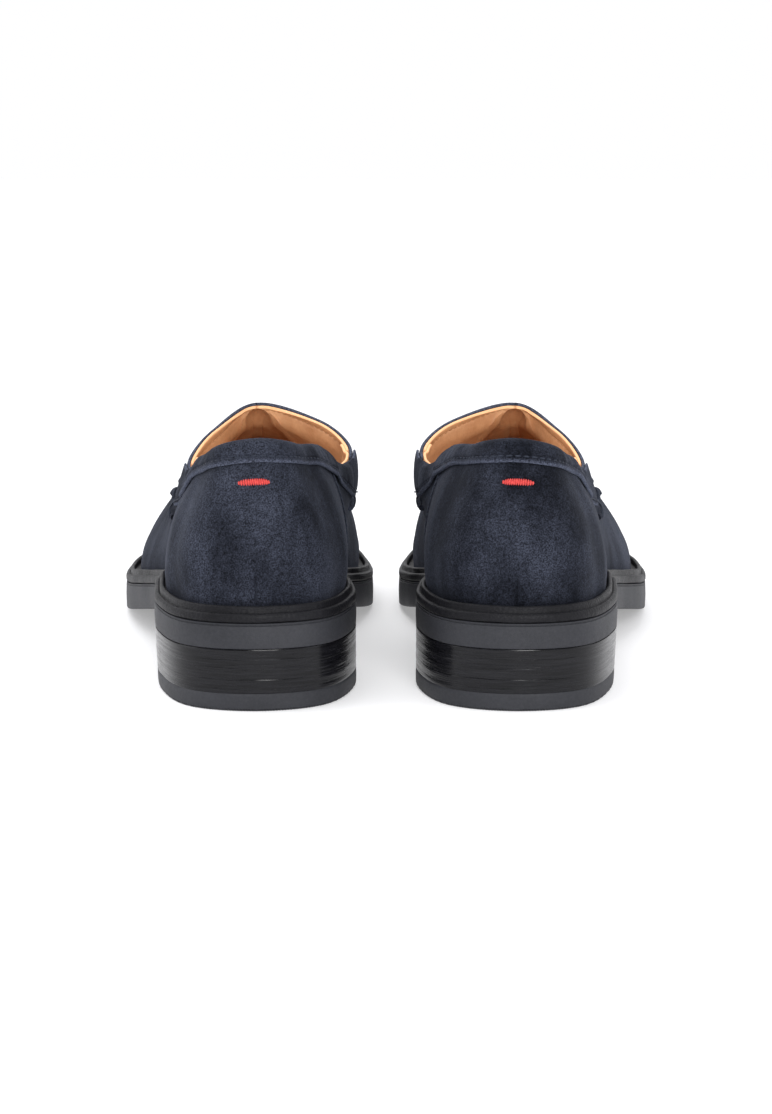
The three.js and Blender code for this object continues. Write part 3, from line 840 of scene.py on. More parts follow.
@dataclass(frozen=True)
class LeatherFinish:
    """Smooth or pebbled leather."""

    name: str
    dark: tuple[float, float, float]
    light: tuple[float, float, float]
    grain: float
    depth: float
    roughness: float
    specular: float = 0.5

    def build(self) -> bpy.types.Material:
        """Makes the material."""
        n = Nodes(self.name)
        tone = n.sum([(n.noise(14, 4, 0.6), 0.65), (n.noise(2.5, 3, 0.6), 0.35)])
        base = n.blend(n.ramp(tone, 0.35, 0.65), self.dark, self.light)
        # The lining's bare cut edge is paler than its grain side.
        n.colour(n.blend(n.attribute("fuzz_highlight_and_raw_edge"), base, tuple(min(1.0, 1.7 * c + 0.02) for c in self.light)))
        grain = n.sum([(n.cells(self.grain), 0.6), (n.noise(self.grain * 0.6, 3, 0.6), 0.4)])
        n.bump(grain, self.depth, 0.9)
        n.rough(n.ramp(tone, 0.3, 0.7, self.roughness + 0.07, self.roughness - 0.07))
        n.set(Specular_IOR_Level=self.specular)
        return n.material


@dataclass(frozen=True)
class RubberFinish:
    """Matt rubber with fine dust in its grain."""

    name: str
    dark: tuple[float, float, float]
    light: tuple[float, float, float]
    roughness: float
    grain: float = 0.5

    def build(self) -> bpy.types.Material:
        """Makes the material."""
        n = Nodes(self.name)
        cloud = n.sum([(n.noise(18, 4, 0.6), 0.5), (n.noise(1.1, 3, 0.7), 0.5)])
        n.colour(n.blend(n.ramp(cloud, 0.35, 0.68), self.dark, self.light))
        fine = n.sum([(n.noise(self.grain, 3, 0.7), 0.7), (n.noise(3, 2, 0.5, n.stretched((1, 1, 8))), 0.3)])
        n.bump(fine, 0.12, 0.8)
        n.rough(n.ramp(cloud, 0.3, 0.7, self.roughness + 0.06, self.roughness - 0.06))
        n.set(Specular_IOR_Level=0.3)
        return n.material


@dataclass(frozen=True)
class StackFinish:
    """The polished edge of stacked, blackened leather, with a line at each layer."""

    name: str
    dark: tuple[float, float, float]
    light: tuple[float, float, float]

    def build(self) -> bpy.types.Material:
        """Makes the material."""
        n = Nodes(self.name)
        layers = n.noise(1.1, 3, 0.7, n.stretched((0.045, 0.045, 1.0)))
        scratch = n.noise(0.7, 2, 0.7, n.stretched((0.06, 0.06, 1.0)))
        both = n.sum([(layers, 0.5), (scratch, 0.5)])
        n.colour(n.blend(n.ramp(both, 0.4, 0.65), self.dark, self.light))
        n.bump(both, 0.16, 0.9)
        n.rough(n.ramp(scratch, 0.3, 0.7, 0.16, 0.3))
        n.set(Specular_IOR_Level=0.22)
        return n.material


@dataclass(frozen=True)
class ThreadFinish:
    """Twisted thread."""

    name: str
    dark: tuple[float, float, float]
    light: tuple[float, float, float]

    def build(self) -> bpy.types.Material:
        """Makes the material."""
        n = Nodes(self.name)
        ply = n.noise(0.5, 3, 0.6)
        n.colour(n.blend(n.ramp(ply, 0.3, 0.7), self.dark, self.light))
        n.bump(ply, 0.1, 0.8)
        n.set(Roughness=0.65, Specular_IOR_Level=0.25)
        return n.material


@dataclass(frozen=True)
class PlainFinish:
    """A hidden filling: cork, board, foam, stiffened cloth or steel."""

    name: str
    dark: tuple[float, float, float]
    light: tuple[float, float, float]
    speck: float
    roughness: float
    metallic: float = 0.0

    def build(self) -> bpy.types.Material:
        """Makes the material."""
        n = Nodes(self.name)
        speck = n.noise(self.speck, 4, 0.6)
        n.colour(n.blend(n.ramp(speck, 0.35, 0.65), self.dark, self.light))
        n.bump(speck, 0.1, 0.6)
        n.set(Roughness=self.roughness, Metallic=self.metallic)
        return n.material


class Slot(Enum):
    """The material slots, each with its finish."""

    SUEDE = SuedeFinish("suede", (0.006, 0.007, 0.0108), (0.031, 0.035, 0.050), (0.6, 0.66, 0.85))
    LINING = LeatherFinish("lining_leather", (0.46, 0.21, 0.09), (0.6, 0.31, 0.15), 0.9, 0.10, 0.5, 0.3)
    SOCK = LeatherFinish("sock_leather", (0.46, 0.21, 0.09), (0.6, 0.3, 0.14), 0.8, 0.08, 0.45)
    RUBBER = RubberFinish("rubber_black", (0.019, 0.020, 0.0245), (0.031, 0.032, 0.038), 0.62)
    WELT = LeatherFinish("welt_leather", (0.006, 0.006, 0.0075), (0.011, 0.011, 0.0135), 1.1, 0.3, 0.5, 0.14)
    STACK = StackFinish("heel_stack", (0.003, 0.003, 0.004), (0.010, 0.010, 0.0125))
    STEEL = PlainFinish("steel", (0.45, 0.45, 0.47), (0.6, 0.6, 0.62), 4, 0.35, 1.0)
    CORK = PlainFinish("cork", (0.22, 0.12, 0.06), (0.42, 0.27, 0.15), 1.5, 0.9)
    BOARD = PlainFinish("board", (0.4, 0.3, 0.2), (0.52, 0.42, 0.3), 0.6, 0.85)
    FOAM = PlainFinish("foam", (0.6, 0.56, 0.47), (0.72, 0.68, 0.6), 0.8, 0.95)
    STIFFENER = PlainFinish("stiffener", (0.58, 0.55, 0.47), (0.7, 0.67, 0.6), 0.5, 0.8)
    THREAD_NAVY = ThreadFinish("thread_navy", (0.010, 0.0125, 0.021), (0.028, 0.035, 0.055))
    THREAD_ACCENT = ThreadFinish("thread_accent", (0.42, 0.03, 0.03), (0.68, 0.08, 0.07))
    THREAD_TAN = ThreadFinish("thread_tan", (0.36, 0.16, 0.06), (0.5, 0.26, 0.12))

    def material(self) -> bpy.types.Material:
        """The slot's material, made once."""
        return bpy.data.materials.get(f"{self.value.name}_finish") or self.value.build()


class Side(Enum):
    """Which shoe of the pair, as the sign of its side of the pair."""

    LEFT = -1
    RIGHT = 1

    @property
    def word(self) -> str:
        """The shoe's prefix in the names of its nodes."""
        return self.name.lower()


class Shoe:
    """Places pieces on one shoe of the pair."""

    def __init__(self, side: Side) -> None:
        """Finds where the shoe stands from its packed outsole."""
        self.side = side
        facets = np.arange(0, ROUND, 1 / 3)
        plan = LAST.outline(facets, margin(facets))
        low = self._turned(np.column_stack([plan, np.zeros(len(plan))]))[:, 1].min()
        self.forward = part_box(f"{side.word}_outsole")[0][1] * 1000 - low

    def _turned(self, points: Array) -> Array:
        """Points of the right shoe, turned out by the toe."""
        a = math.radians(TOE_OUT)
        x = points[:, 0] * math.cos(a) + points[:, 1] * math.sin(a) + HEEL_SPACING / 2
        y = points[:, 1] * math.cos(a) - points[:, 0] * math.sin(a)
        return np.column_stack([x, y, points[:, 2]])

    def add(self, name: str, shape: Shape, slot: Slot, nodes: Sequence[str] = (), angle: float = 40,
            record_slot: str | None = None) -> bpy.types.Object:
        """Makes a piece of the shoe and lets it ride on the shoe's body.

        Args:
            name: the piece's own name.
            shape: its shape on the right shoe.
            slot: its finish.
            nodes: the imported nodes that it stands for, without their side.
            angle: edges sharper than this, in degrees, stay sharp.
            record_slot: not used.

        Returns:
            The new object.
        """
        points = self._turned(shape.points)
        points[:, 1] += self.forward
        points[:, 0] *= self.side.value
        mirrored = self.side is Side.LEFT
        faces = [face[::-1] for face in shape.faces] if mirrored else shape.faces
        mesh = bpy.data.meshes.new(f"{self.side.word}_{name}")
        mesh.from_pydata((points / 1000).tolist(), [], faces)
        mesh.shade_smooth()
        mesh.set_sharp_from_angle(angle=math.radians(angle))
        # Per-point edge lightening: a painted highlight on suede, the paler cut edge on the lining.
        if shape.fuzz_highlight_and_raw_edge is not None:
            fuzz_highlight_and_raw_edge = mesh.attributes.new("fuzz_highlight_and_raw_edge", "FLOAT", "POINT")
            fuzz_highlight_and_raw_edge.data.foreach_set("value", shape.fuzz_highlight_and_raw_edge.astype(np.float32))
        mesh.materials.append(slot.material())
        piece = placed(f"{self.side.word}_{name}_visual", mesh)
        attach(piece, f"{self.side.word}_shoe")
        if nodes:
            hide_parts(*[f"{self.side.word}_{node}" for node in nodes])
        LOG.info("%s: %d points", piece.name, len(points))
        return piece


# ---------------------------------------------------------------- thread


def resampled(line: Array, pitch: float) -> tuple[Array, Array]:
    """A line cut into even steps.

    Args:
        line: the line's points, with any other values after x, y and z.
        pitch: the step.

    Returns:
        The points with their values, and the direction of the line there.
    """
    along = travelled(line[:, :3])
    count = max(int(along[-1] / pitch), 2)
    at = (np.arange(count) + 0.5) * along[-1] / count
    values = np.column_stack([np.interp(at, along, line[:, i]) for i in range(line.shape[1])])
    ahead = np.column_stack([np.interp(at + 0.4, along, line[:, i]) for i in range(3)])
    behind = np.column_stack([np.interp(at - 0.4, along, line[:, i]) for i in range(3)])
    return values, unit(ahead - behind)


@dataclass
class Stitching:
    """A row of stitches along a line on a surface."""

    pitch: float = 3.0
    length: float = 2.3
    radius: float = 0.32
    height: float = 0.12
    sides: int = 8

    def row(self, line: Array, normal: Array, slant: float = 0.0) -> Shape:
        """Stitches along a line.

        Args:
            line: points of the line.
            normal: the surface's direction at each of them.
            slant: how far each stitch is turned from the line, in degrees.

        Returns:
            All the stitches as one shape.
        """
        values, direction = resampled(np.column_stack([line, normal]), self.pitch)
        stitches = []
        for i in range(len(values)):
            out = unit(values[i, 3:])
            run = unit(direction[i] - out * np.dot(direction[i], out))
            cross = np.cross(out, run)
            a = math.radians(slant)
            run, cross = run * math.cos(a) + cross * math.sin(a), cross * math.cos(a) - run * math.sin(a)
            stitches.append(self.one(values[i, :3] + out * self.height, run, cross, out))
        return Shape.joined(stitches)

    def one(self, centre: Array, run: Array, cross: Array, out: Array) -> Shape:
        """One stitch: a plump bead of thread, drawn down at both ends."""
        rings = 6
        along = np.linspace(-1, 1, rings + 1)
        turn = np.linspace(0, 2 * math.pi, self.sides, endpoint=False)
        points, number = [], []
        for t in along:
            plump = self.radius * math.sqrt(max(1 - abs(t) ** 3, 0.03))
            sink = -0.5 * self.radius * t * t
            ring = (
                centre
                + run * (t * self.length / 2)
                + np.outer(np.cos(turn), cross) * plump
                + np.outer(np.sin(turn), out) * plump * 0.8
                + out * sink
            )
            number.append(np.arange(len(points) * self.sides, (len(points) + 1) * self.sides))
            points.append(ring)
        net = np.array(number)
        after = np.roll(net, -1, 1)
        faces = np.stack([net[:-1], after[:-1], after[1:], net[1:]], -1).reshape(-1, 4).tolist()
        ends = [tuple(net[0][::-1].tolist()), tuple(net[-1].tolist())]
        return Shape(np.vstack(points), [tuple(f) for f in faces] + ends)


def tube(line: Array, normal: Array, radius: float, sides: int = 12) -> Shape:
    """A round cord along a line.

    Args:
        line: points along its middle.
        normal: a direction across it at each point.
        radius: its radius.
        sides: how many sides it has.

    Returns:
        The cord, closed at both ends.
    """
    direction = unit(np.gradient(line, axis=0))
    out = unit(normal - direction * (normal * direction).sum(1, keepdims=True))
    cross = np.cross(out, direction)
    turn = np.linspace(0, 2 * math.pi, sides, endpoint=False)
    ring = (
        line[:, None]
        + radius * np.cos(turn)[None, :, None] * cross[:, None]
        + radius * np.sin(turn)[None, :, None] * out[:, None]
    )
    net = np.arange(len(line) * sides).reshape(len(line), sides)
    after = np.roll(net, -1, 1)
    faces = np.stack([net[:-1], net[1:], after[1:], after[:-1]], -1).reshape(-1, 4).tolist()
    ends = [tuple(net[0].tolist()), tuple(net[-1][::-1].tolist())]
    return Shape(ring.reshape(-1, 3), [tuple(f) for f in faces] + ends)


def on_upper(station: Array, up: Array, out: float | Array) -> tuple[Array, Array]:
    """A line on the upper.

    Args:
        station: its places round the shoe.
        up: their shares of the way up.
        out: how far outside the upper it lies.

    Returns:
        Its points and the outward direction at each.
    """
    place = LAST.point(station, up)
    along = LAST.point(station + 0.01, up) - LAST.point(station - 0.01, up)
    lower, upper = np.clip(up - 0.004, 0, 1), np.clip(up + 0.004, 0, 1)
    rise = LAST.point(station, upper) - LAST.point(station, lower)
    normal = LAST.settled(place, unit(np.cross(along, rise)))
    return place + normal * np.asarray(out)[..., None], normal


# ---------------------------------------------------------------- sub-assemblies


@dataclass
class SoleUnit:
    """Outsole, welt and heel."""

    spacing: float = 0.03
    edge_round: float = 0.6
    serration: float = 1.05
    wall_step: float = 0.02
    front_bow: float = 1.6
    corner: int = 10
    corner_pull: float = 0.4
    taper_at_side: float = 1.0
    tooth_height: float = 0.9
    groove: float = 0.15

    def build(self, shoe: Shoe) -> None:
        """Makes the whole unit for one shoe."""
        shoe.add("outsole", self.outsole(), Slot.RUBBER, ["outsole"], 50)
        shoe.add("welt", self.welt(), Slot.WELT, ["welt"], 50)
        shoe.add("heel_stack", self.stack(), Slot.STACK,
                 ["heel_lift_lower", "heel_lift_middle", "heel_lift_upper"], 50)
        shoe.add("heel_top_piece", self.top_piece(), Slot.RUBBER, ["heel_top_piece"], 50)

    def outsole(self) -> Shape:
        """The rubber sole, with a thin line under its upper edge and a rounded lower one."""
        r = self.edge_round
        profile = [(-4 * r, 0, 0), (-r, 0, 0), (-0.5 * r, 0, 0.12 * r), (-0.13 * r, 0, 0.5 * r), (0, 0, r)]
        profile += [(0.1, 0.3, 0), (0.15, 0.5, 0), (0.1, 0.7, 0), (0, 1, -1.1), (-0.35, 1, -0.9)]
        profile += [(-0.35, 1, -0.65), (-0.05, 1, -0.45), (-0.1, 1, -0.15), (-0.5, 1, 0), (-3, 1, 0)]
        return Ring(self.spacing, underside, sole_top).slab(profile)

    def welt(self) -> Shape:
        """The welt: a polished edge, a pebbled top, and the storm rib that stands against the upper."""
        m = MARGIN_AT_HEEL
        profile = [(-m - WELT_INSIDE, 0, 0), (-0.5, 0, 0.0), (-0.12, 0, 0.15), (0.05, 0, 0.6), (0.1, 0.5, 0)]
        profile += [(0.0, 1, -0.75), (-0.25, 1, -0.3), (-0.7, 1, -0.05), (-1.2, 1, 0.02)]
        rib_out, rib_in, rise = m - 4.0, m - 2.4, 2.4
        profile += [(-rib_out + 0.35, 1, 0.0), (-rib_out + 0.05, 1, -0.25), (-rib_out - 0.2, 1, 0.0)]
        for turn in np.linspace(0, math.pi, 9):
            middle, half = (rib_out + rib_in) / 2 + 0.2, (rib_in - rib_out) / 2 + 0.1
            profile.append((-middle + half * math.cos(turn), 1, rise - 0.75 + 0.75 * math.sin(turn)))
        profile += [(-rib_in - 0.4, 1, 0.1), (-m - WELT_INSIDE, 1, 0)]
        ring = Ring(self.spacing, lambda y: sole_top(y) + CLEARANCE, welt_top)
        shape = ring.loop(profile)
        shape.points[:, 2] += noise(shape.points * [1, 1, 0], 9, 3) * 0.12
        return shape

    def block(
        self, low: float, high: float, levels: Sequence[tuple[float, float]], tooth: float = 0.0
    ) -> Shape:
        """A layer of the heel.

        Args:
            low: height of its lower face.
            high: height of its upper face.
            levels: (height, outset) of each line round its wall, from low to high.
            tooth: depth of the fine teeth round its lower edge.

        Returns:
            The layer's shape.
        """
        outer_end, inner_end = self.front_station(1), self.front_station(-1)
        k = np.linspace(-inner_end, outer_end, int((outer_end + inner_end) / self.wall_step))
        arc = LAST.outline(k, margin(k))
        side = LAST.outline(k, margin(k) + 1) - arc
        across = np.linspace(0, 1, 120)[1:-1, None]
        front = arc[-1] * (1 - across) + arc[0] * across
        bow = self.front_bow * (1 - (2 * across - 1) ** 2)
        front[:, 1] -= bow[:, 0]
        plan = np.vstack([arc, front])
        out = np.vstack([side, np.tile([0.0, 1.0], (len(front), 1))])
        for corner in (len(arc) - 1, 0):
            for j in range(-self.corner, self.corner + 1):
                i = (corner + j) % len(plan)
                pull = (1 - abs(j) / (self.corner + 1)) ** 2 * self.corner_pull
                inward = np.array([plan[:, 0].mean(), plan[:, 1].mean()]) - plan[i]
                plan[i] = plan[i] + inward / np.linalg.norm(inward) * pull
        step = np.linalg.norm(np.diff(np.vstack([plan, plan[:1]]), axis=0), axis=1)
        along = np.cumsum(step)
        teeth = np.round(along[-1] / self.serration)
        wave = 0.5 + 0.5 * np.sin(2 * math.pi * teeth * along / along[-1])
        taper = np.clip(plan[:, 0] / 38, 0, 1)
        rings = []
        for z, outset in levels:
            inset = self.taper_at_side * taper * (1 - z / STACK_TOP)
            bite = tooth * wave * float(z < low + self.tooth_height)
            line = plan + out * (outset - inset - bite)[:, None]
            rings.append(np.column_stack([line, np.full(len(plan), z)]))
        wall = np.array(rings)
        levels_count, count = wall.shape[:2]
        points = [wall.reshape(-1, 3)]
        number = np.arange(levels_count * count).reshape(levels_count, count)
        after = np.roll(number, -1, 1)
        faces = [np.stack([number[:-1], after[:-1], after[1:], number[1:]], -1).reshape(-1, 4)]
        centre = np.array([0, 40.0])
        start = levels_count * count
        for level, up in ((0, False), (levels_count - 1, True)):
            last = number[level]
            for share in (0.97, 0.9, 0.75, 0.5, 0.25, 0.02):
                ring = wall[level].copy()
                ring[:, :2] = centre + (ring[:, :2] - centre) * share
                new = np.arange(start, start + count)
                start += count
                points.append(ring)
                quads = np.stack([last, np.roll(last, -1), np.roll(new, -1), new], -1)
                faces.append(quads if up else quads[:, ::-1])
                last = new
            middle = wall[level].mean(0) * [0, 0, 1] + [centre[0], centre[1], 0]
            points.append(middle[None])
            hub = np.full(count, start)
            start += 1
            fan = np.stack([last, np.roll(last, -1), hub, hub], -1)
            faces.append(fan if up else fan[:, ::-1])
        return compact(np.vstack(points), np.concatenate(faces))

    def front_station(self, side: int) -> float:
        """The station on one side where the heel's front face meets its wall."""
        k = np.linspace(0, 6, 3000)
        y = LAST.outline(side * k, margin(side * k))[:, 1]
        return float(np.interp(HEEL_LENGTH, y, k))

    def stack(self) -> Shape:
        """The heel's lifts, burnished to one face with a faint groove at each joint."""
        low, high = TOP_PIECE + CLEARANCE * 0.3, STACK_TOP + CLEARANCE * 0.8
        heights = np.linspace(low, high, 90)
        levels = []
        for z in heights:
            wave = 0.04 * noise(np.array([0, 0, z]), 0.7, 5) + 0.03 * noise(np.array([0, 0, z]), 2.1, 8)
            joint = min(abs(z - TOP_PIECE - i * (LIFT + CLEARANCE)) for i in range(1, LIFTS))
            groove = -0.05 * bell(joint, self.groove)
            rim = -0.12 * bell(z - low, self.groove) - 0.1 * bell(z - high, self.groove)
            levels.append((float(z), float(wave + groove + rim)))
        return self.block(low, high, levels)

    def top_piece(self) -> Shape:
        """The rubber top piece, with fine teeth round its lower edge."""
        high = TOP_PIECE + CLEARANCE * 0.2
        levels = [(0.0, -0.7), (0.15, -0.35), (0.45, -0.12), (0.85, -0.02), (0.95, 0.02), (2.0, 0.06)]
        levels += [(3.5, 0.08), (5.2, 0.02), (high - 0.15, -0.02), (high, -0.15)]
        return self.block(0.0, high, levels, 0.5)


@dataclass
class Upper:
    """The suede pieces, their linings and their stitching."""

    spacing: float = 0.04
    edge_row: float = 2.2
    row_width: float = 0.55
    rolled_rim: float = 50.0
    slot_half_width: float = 3.4
    slot_half_length: float = 12.0

    def build(self, shoe: Shoe) -> None:
        """Makes every suede and lining piece for one shoe."""
        shoe.add("vamp", self.vamp(), Slot.SUEDE, ["vamp"])
        shoe.add("apron", self.apron(), Slot.SUEDE, ["apron"])
        shoe.add("heel_cover", self.heel_cover(), Slot.SUEDE, ["heel_cover"])
        band = shoe.add("collar_band", self.collar(), Slot.SUEDE, ["collar_band"])
        shoe.add("penny_strap", self.strap(), Slot.SUEDE, ["penny_strap"])
        front = self.lining(VAMP_LINING_START, ROUND - VAMP_LINING_START)
        back = self.lining(-QUARTER_LINING_END, QUARTER_LINING_END)
        shoe.add("vamp_lining", front, Slot.LINING, ["vamp_lining"])
        shoe.add("quarter_lining", back, Slot.LINING, ["quarter_lining"])
        shoe.add("sock_lining", self.sock(), Slot.SOCK, ["sock_lining"])
        shoe.add("apron_seam", self.apron_seam(), Slot.SUEDE, ["apron_thread"], record_slot="thread_navy")
        shoe.add("navy_stitching", self.navy_stitching(), Slot.THREAD_NAVY)
        shoe.add("lining_stitching", self.lining_stitching(), Slot.THREAD_TAN, record_slot="lining_leather")
        shoe.add("bar_tack", self.bar_tack(), Slot.THREAD_ACCENT, ["bar_tack"])

    @staticmethod
    def lumps(grid: Grid, size: float, depth: float, seed: int) -> Array:
        """Soft unevenness of a hand-lasted skin, dying away at its edges."""
        fade = np.clip(grid.edge() / 6, 0, 1)
        return noise(grid.place, size, seed) * depth * fade

    def vamp(self) -> Shape:
        """The vamp, from under the heel cover right round the toe."""
        k = stations(VAMP_START, ROUND - VAMP_START, self.spacing)
        high = UNDER_COLLAR + (seam_height(k) - 0.002 - UNDER_COLLAR) * smooth(4.56, 4.64, side_of(k))
        grid = Grid(k, np.zeros(len(k)), high, 70)
        outer = self.lumps(grid, 24, 0.5, 1) + self.lumps(grid, 9, 0.15, 2)
        seam = seam_height(grid.station)
        outer -= 0.6 * smooth(4.36, 4.46, side_of(grid.station)) * smooth(-0.03, 0.0, grid.up - seam)
        return grid.solid(outer, outer - SUEDE, grid.edge(below=False, ends=False))

    def apron(self) -> Shape:
        """The apron and tongue, drawn up to a raised edge all along the seam."""
        k = stations(APRON_START, ROUND - APRON_START, self.spacing)
        grid = Grid(k, seam_height(k), np.ones(len(k)), 60)
        hem = np.where(side_of(grid.station) < TONGUE, grid.above, NO_EDGE)
        pucker = 0.35 * bell(grid.below, 3.5) * np.sin(2 * math.pi * grid.behind / SEAM_PITCH)
        outer = self.lumps(grid, 26, 0.4, 3) + pucker * np.clip(grid.below, 0, 1)
        return grid.solid(outer, outer - SUEDE, np.minimum(hem, grid.edge(above=False)))

    def heel_cover(self) -> Shape:
        """The one-piece cover of the heel, with a short closing seam at the bottom of its back."""
        k = stations(-COVER_END, COVER_END, self.spacing / 2)
        grid = Grid(k, np.zeros(len(k)), np.full(len(k), UNDER_COLLAR), 110)
        side = np.minimum(grid.behind, grid.ahead)
        outer = cover_lap(grid.station) + self.lumps(grid, 30, 0.7, 4) + self.lumps(grid, 11, 0.18, 5)
        middle = np.abs(grid.place[..., 0])
        dart = 1 - smooth(10, 15, grid.below)
        outer -= 0.6 * bell(middle, 0.4) * dart
        outer += 0.25 * bell(middle - 1.1, 0.6) * dart
        outer += 0.45 * bell(side, 1.3) - 0.45 * bell(side - self.edge_row, self.row_width)
        inner = cover_lap(grid.station) - SUEDE
        return grid.solid(outer, inner, side)

    def collar(self) -> Shape:
        """The collar band: soft, puffed between its stitching and the rolled topline."""
        k = stations(-COLLAR_END, COLLAR_END, self.spacing / 2)
        low = collar_edge(k) + 0.07 * smooth(COLLAR_END - 0.3, COLLAR_END + 0.1, side_of(k)) ** 2
        grid = Grid(k, low, np.ones(len(k)), 60)
        side = side_of(grid.station)
        base = collar_base(grid.station)
        hump = np.sin(np.pi * grid.share)
        puff = (0.75 - 0.55 * smooth(3.4, 4.6, side)) * hump**0.8
        bend = smooth(2.1, 2.7, side) * (1 - smooth(3.9, 4.6, side))
        crease = 0.3 * noise(grid.place * [1.6, 1.6, 0.5], 6, 6)
        crease += 0.42 * bend * noise(grid.place * [1, 1, 0.25], 3.4, 12)
        outer = base + SUEDE * (1 - 0.25 * smooth(3.4, 4.6, side)) + puff + crease * hump**0.6
        outer += 0.25 * noise(grid.place, 16, 7)
        outer -= 0.5 * bell(grid.below - self.edge_row, self.row_width)
        roll = np.clip(1 - grid.above / 2.6, 0, 1)
        rolled = 1 - smooth(4.05, 4.4, side)
        outer -= 2.0 * rolled * (1 - np.sqrt(1 - roll**2))
        top = smooth(3.2, 0.6, grid.above) * rolled
        inner = base * (1 - top) + top * (-2.6)
        edge = np.minimum(grid.edge(above=False), grid.above + self.rolled_rim * rolled)
        return grid.solid(outer, inner, np.where((grid.above < 1.5) & (rolled > 0), NO_EDGE, edge))

    def strap(self) -> Shape:
        """The saddle strap, with a raised edge and the lens-shaped coin slot."""
        rows, across, low = 81, 61, 0.5
        share = clustered(across)
        ups = low + (1 - low) * np.linspace(0, 1, rows)
        t = (ups - low) / (1 - low)
        rear, front = 6.3 + 1.15 * t, 7.9 + 0.45 * t
        halves = []
        for sign in (1, -1):
            k = rear[None] + (front - rear)[None] * share[:, None]
            place, normal = on_upper(sign * k, np.repeat(ups[None], across, 0), 0.0)
            halves.append((place, normal))
        place = np.concatenate([halves[0][0], halves[1][0][:, ::-1][:, 1:]], 1)
        normal = np.concatenate([halves[0][1], halves[1][1][:, ::-1][:, 1:]], 1)
        middle = rows - 1
        ridge = normal[:, middle - 2 : middle - 1] + normal[:, middle + 2 : middle + 3]
        for j in range(middle - 3, middle + 4):
            near = 1 - abs(j - middle) / 4
            normal[:, j : j + 1] = normal[:, j : j + 1] * (1 - near) + ridge / 2 * near
        normal = unit(normal)
        edge_u = travelled(place[:, middle])
        side = np.minimum(edge_u, edge_u[-1] - edge_u)[:, None]
        end_v = travelled(place[across // 2])
        ends = np.minimum(end_v, end_v[-1] - end_v)[None]
        rim = np.minimum(side, ends)
        dx = end_v[None] - end_v[middle]
        dy = (edge_u - edge_u[across // 2])[:, None]
        lens = self.slot_half_width * np.clip(1 - (dx / self.slot_half_length) ** 2, 0, 1) - np.abs(dy)
        outer = 2.1 - 0.25 * bell(rim - self.edge_row, 0.45) + 0.2 * noise(place, 18, 9)
        outer = outer - 1.75 * smooth(-0.5, 0.35, lens)
        inner = np.full(outer.shape, COLLAR_GAP)
        fall = edge_fall(outer, inner, rim, 1.0)
        outside = place + normal * (outer - fall)[..., None]
        inside = place + normal * np.minimum(inner + fall, outer - fall)[..., None]
        quads = quads_over(np.arange(rim.size).reshape(rim.shape))
        return skin(outside.reshape(-1, 3), inside.reshape(-1, 3), quads)

    def lining(self, start: float, end: float) -> Shape:
        """A lining: tan calf, a little wrinkled, with a bare cut edge level with the suede's."""
        k = stations(start, end, self.spacing)
        grid = Grid(k, np.zeros(len(k)), np.ones(len(k)), 90)
        front = start > 0
        deep = smooth(1.0, 9.0, grid.above) if front else smooth(3, 9, grid.above)
        side = side_of(grid.station)
        gap = LINING_GAP if front else 1.3 - 1.15 * (smooth(4.1, 4.45, side) - smooth(4.68, 4.82, side))
        outer = -SUEDE - gap - 0.9 * deep
        wrinkle = 0.22 * noise(grid.place * [1, 0.5, 1], 5, 10) + 0.25 * noise(grid.place, 14, 11)
        groove = 0.3 * bell(grid.above - LINING_ROW, 0.45) * float(front)
        inner = outer - LINING + wrinkle * smooth(2, 8, grid.above) * smooth(0, 4, grid.below) + groove
        if front:
            inner -= self.tongue_fullness(grid)
        rim = np.where(side < TONGUE, grid.above, NO_EDGE)
        return grid.solid(outer, inner, rim)

    @staticmethod
    def tongue_fullness(grid: Grid) -> Array:
        """How much fuller the lining is behind the tongue, so that it faces back out of the shoe."""
        away = np.linalg.norm(grid.place - LAST.ridge[0], axis=-1)
        below = np.where(side_of(grid.station) < TONGUE, smooth(1, 13, grid.above), 1.0)
        return TONGUE_FULLNESS * np.minimum(smooth(1, 13, away), below) * (1 - smooth(20, 46, away))

    def sock(self) -> Shape:
        """The sock lining: a thin leather sheet, turned up a little at its edge."""
        ring = Ring(0.05, sock_height, lambda y: sock_height(y) + LINING, -10.6)
        profile = [(-3, 0, 0), (0.0, 0, 0.0), (0.3, 0, 0.3), (0.3, 1, -0.2), (0, 1, 0), (-3, 1, 0)]
        return ring.slab(profile, 24)

    def apron_seam(self) -> Shape:
        """The moccasin seam: a rolled ridge with a thread over it at every stitch."""
        k = stations(APRON_START + 0.04, ROUND - APRON_START - 0.04, 0.02)
        line, normal = on_upper(k, seam_height(k), 0.2)
        line = line + normal * (0.22 * np.abs(np.sin(math.pi * travelled(line) / SEAM_PITCH)))[:, None]
        return tube(line, normal, 1.25, 14)

    def navy_stitching(self) -> Shape:
        """All the rows that show on the suede."""
        rows = []
        thread = Stitching()
        k = stations(-COLLAR_END + 0.1, COLLAR_END - 0.1, 0.05)
        rise = self.per_mm(k, collar_edge(k))
        line, normal = on_upper(k, collar_edge(k) + self.edge_row * rise, collar_base(k) + SUEDE)
        rows.append(thread.row(line, normal))
        for sign in (-1, 1):
            v = np.linspace(0.03, 0.72, 80)
            k_row = np.full(len(v), COVER_END - 0.085) * sign
            line, normal = on_upper(k_row, v, LAP - 0.02)
            rows.append(thread.row(line, normal))
        k = stations(APRON_START + 0.15, ROUND - APRON_START - 0.15, 0.03)
        line, normal = on_upper(k, seam_height(k) + 0.006, 1.5)
        rows.append(Stitching(pitch=SEAM_PITCH, length=3.4, radius=0.36, height=0.1).row(line, normal, 78))
        return Shape.joined(rows)

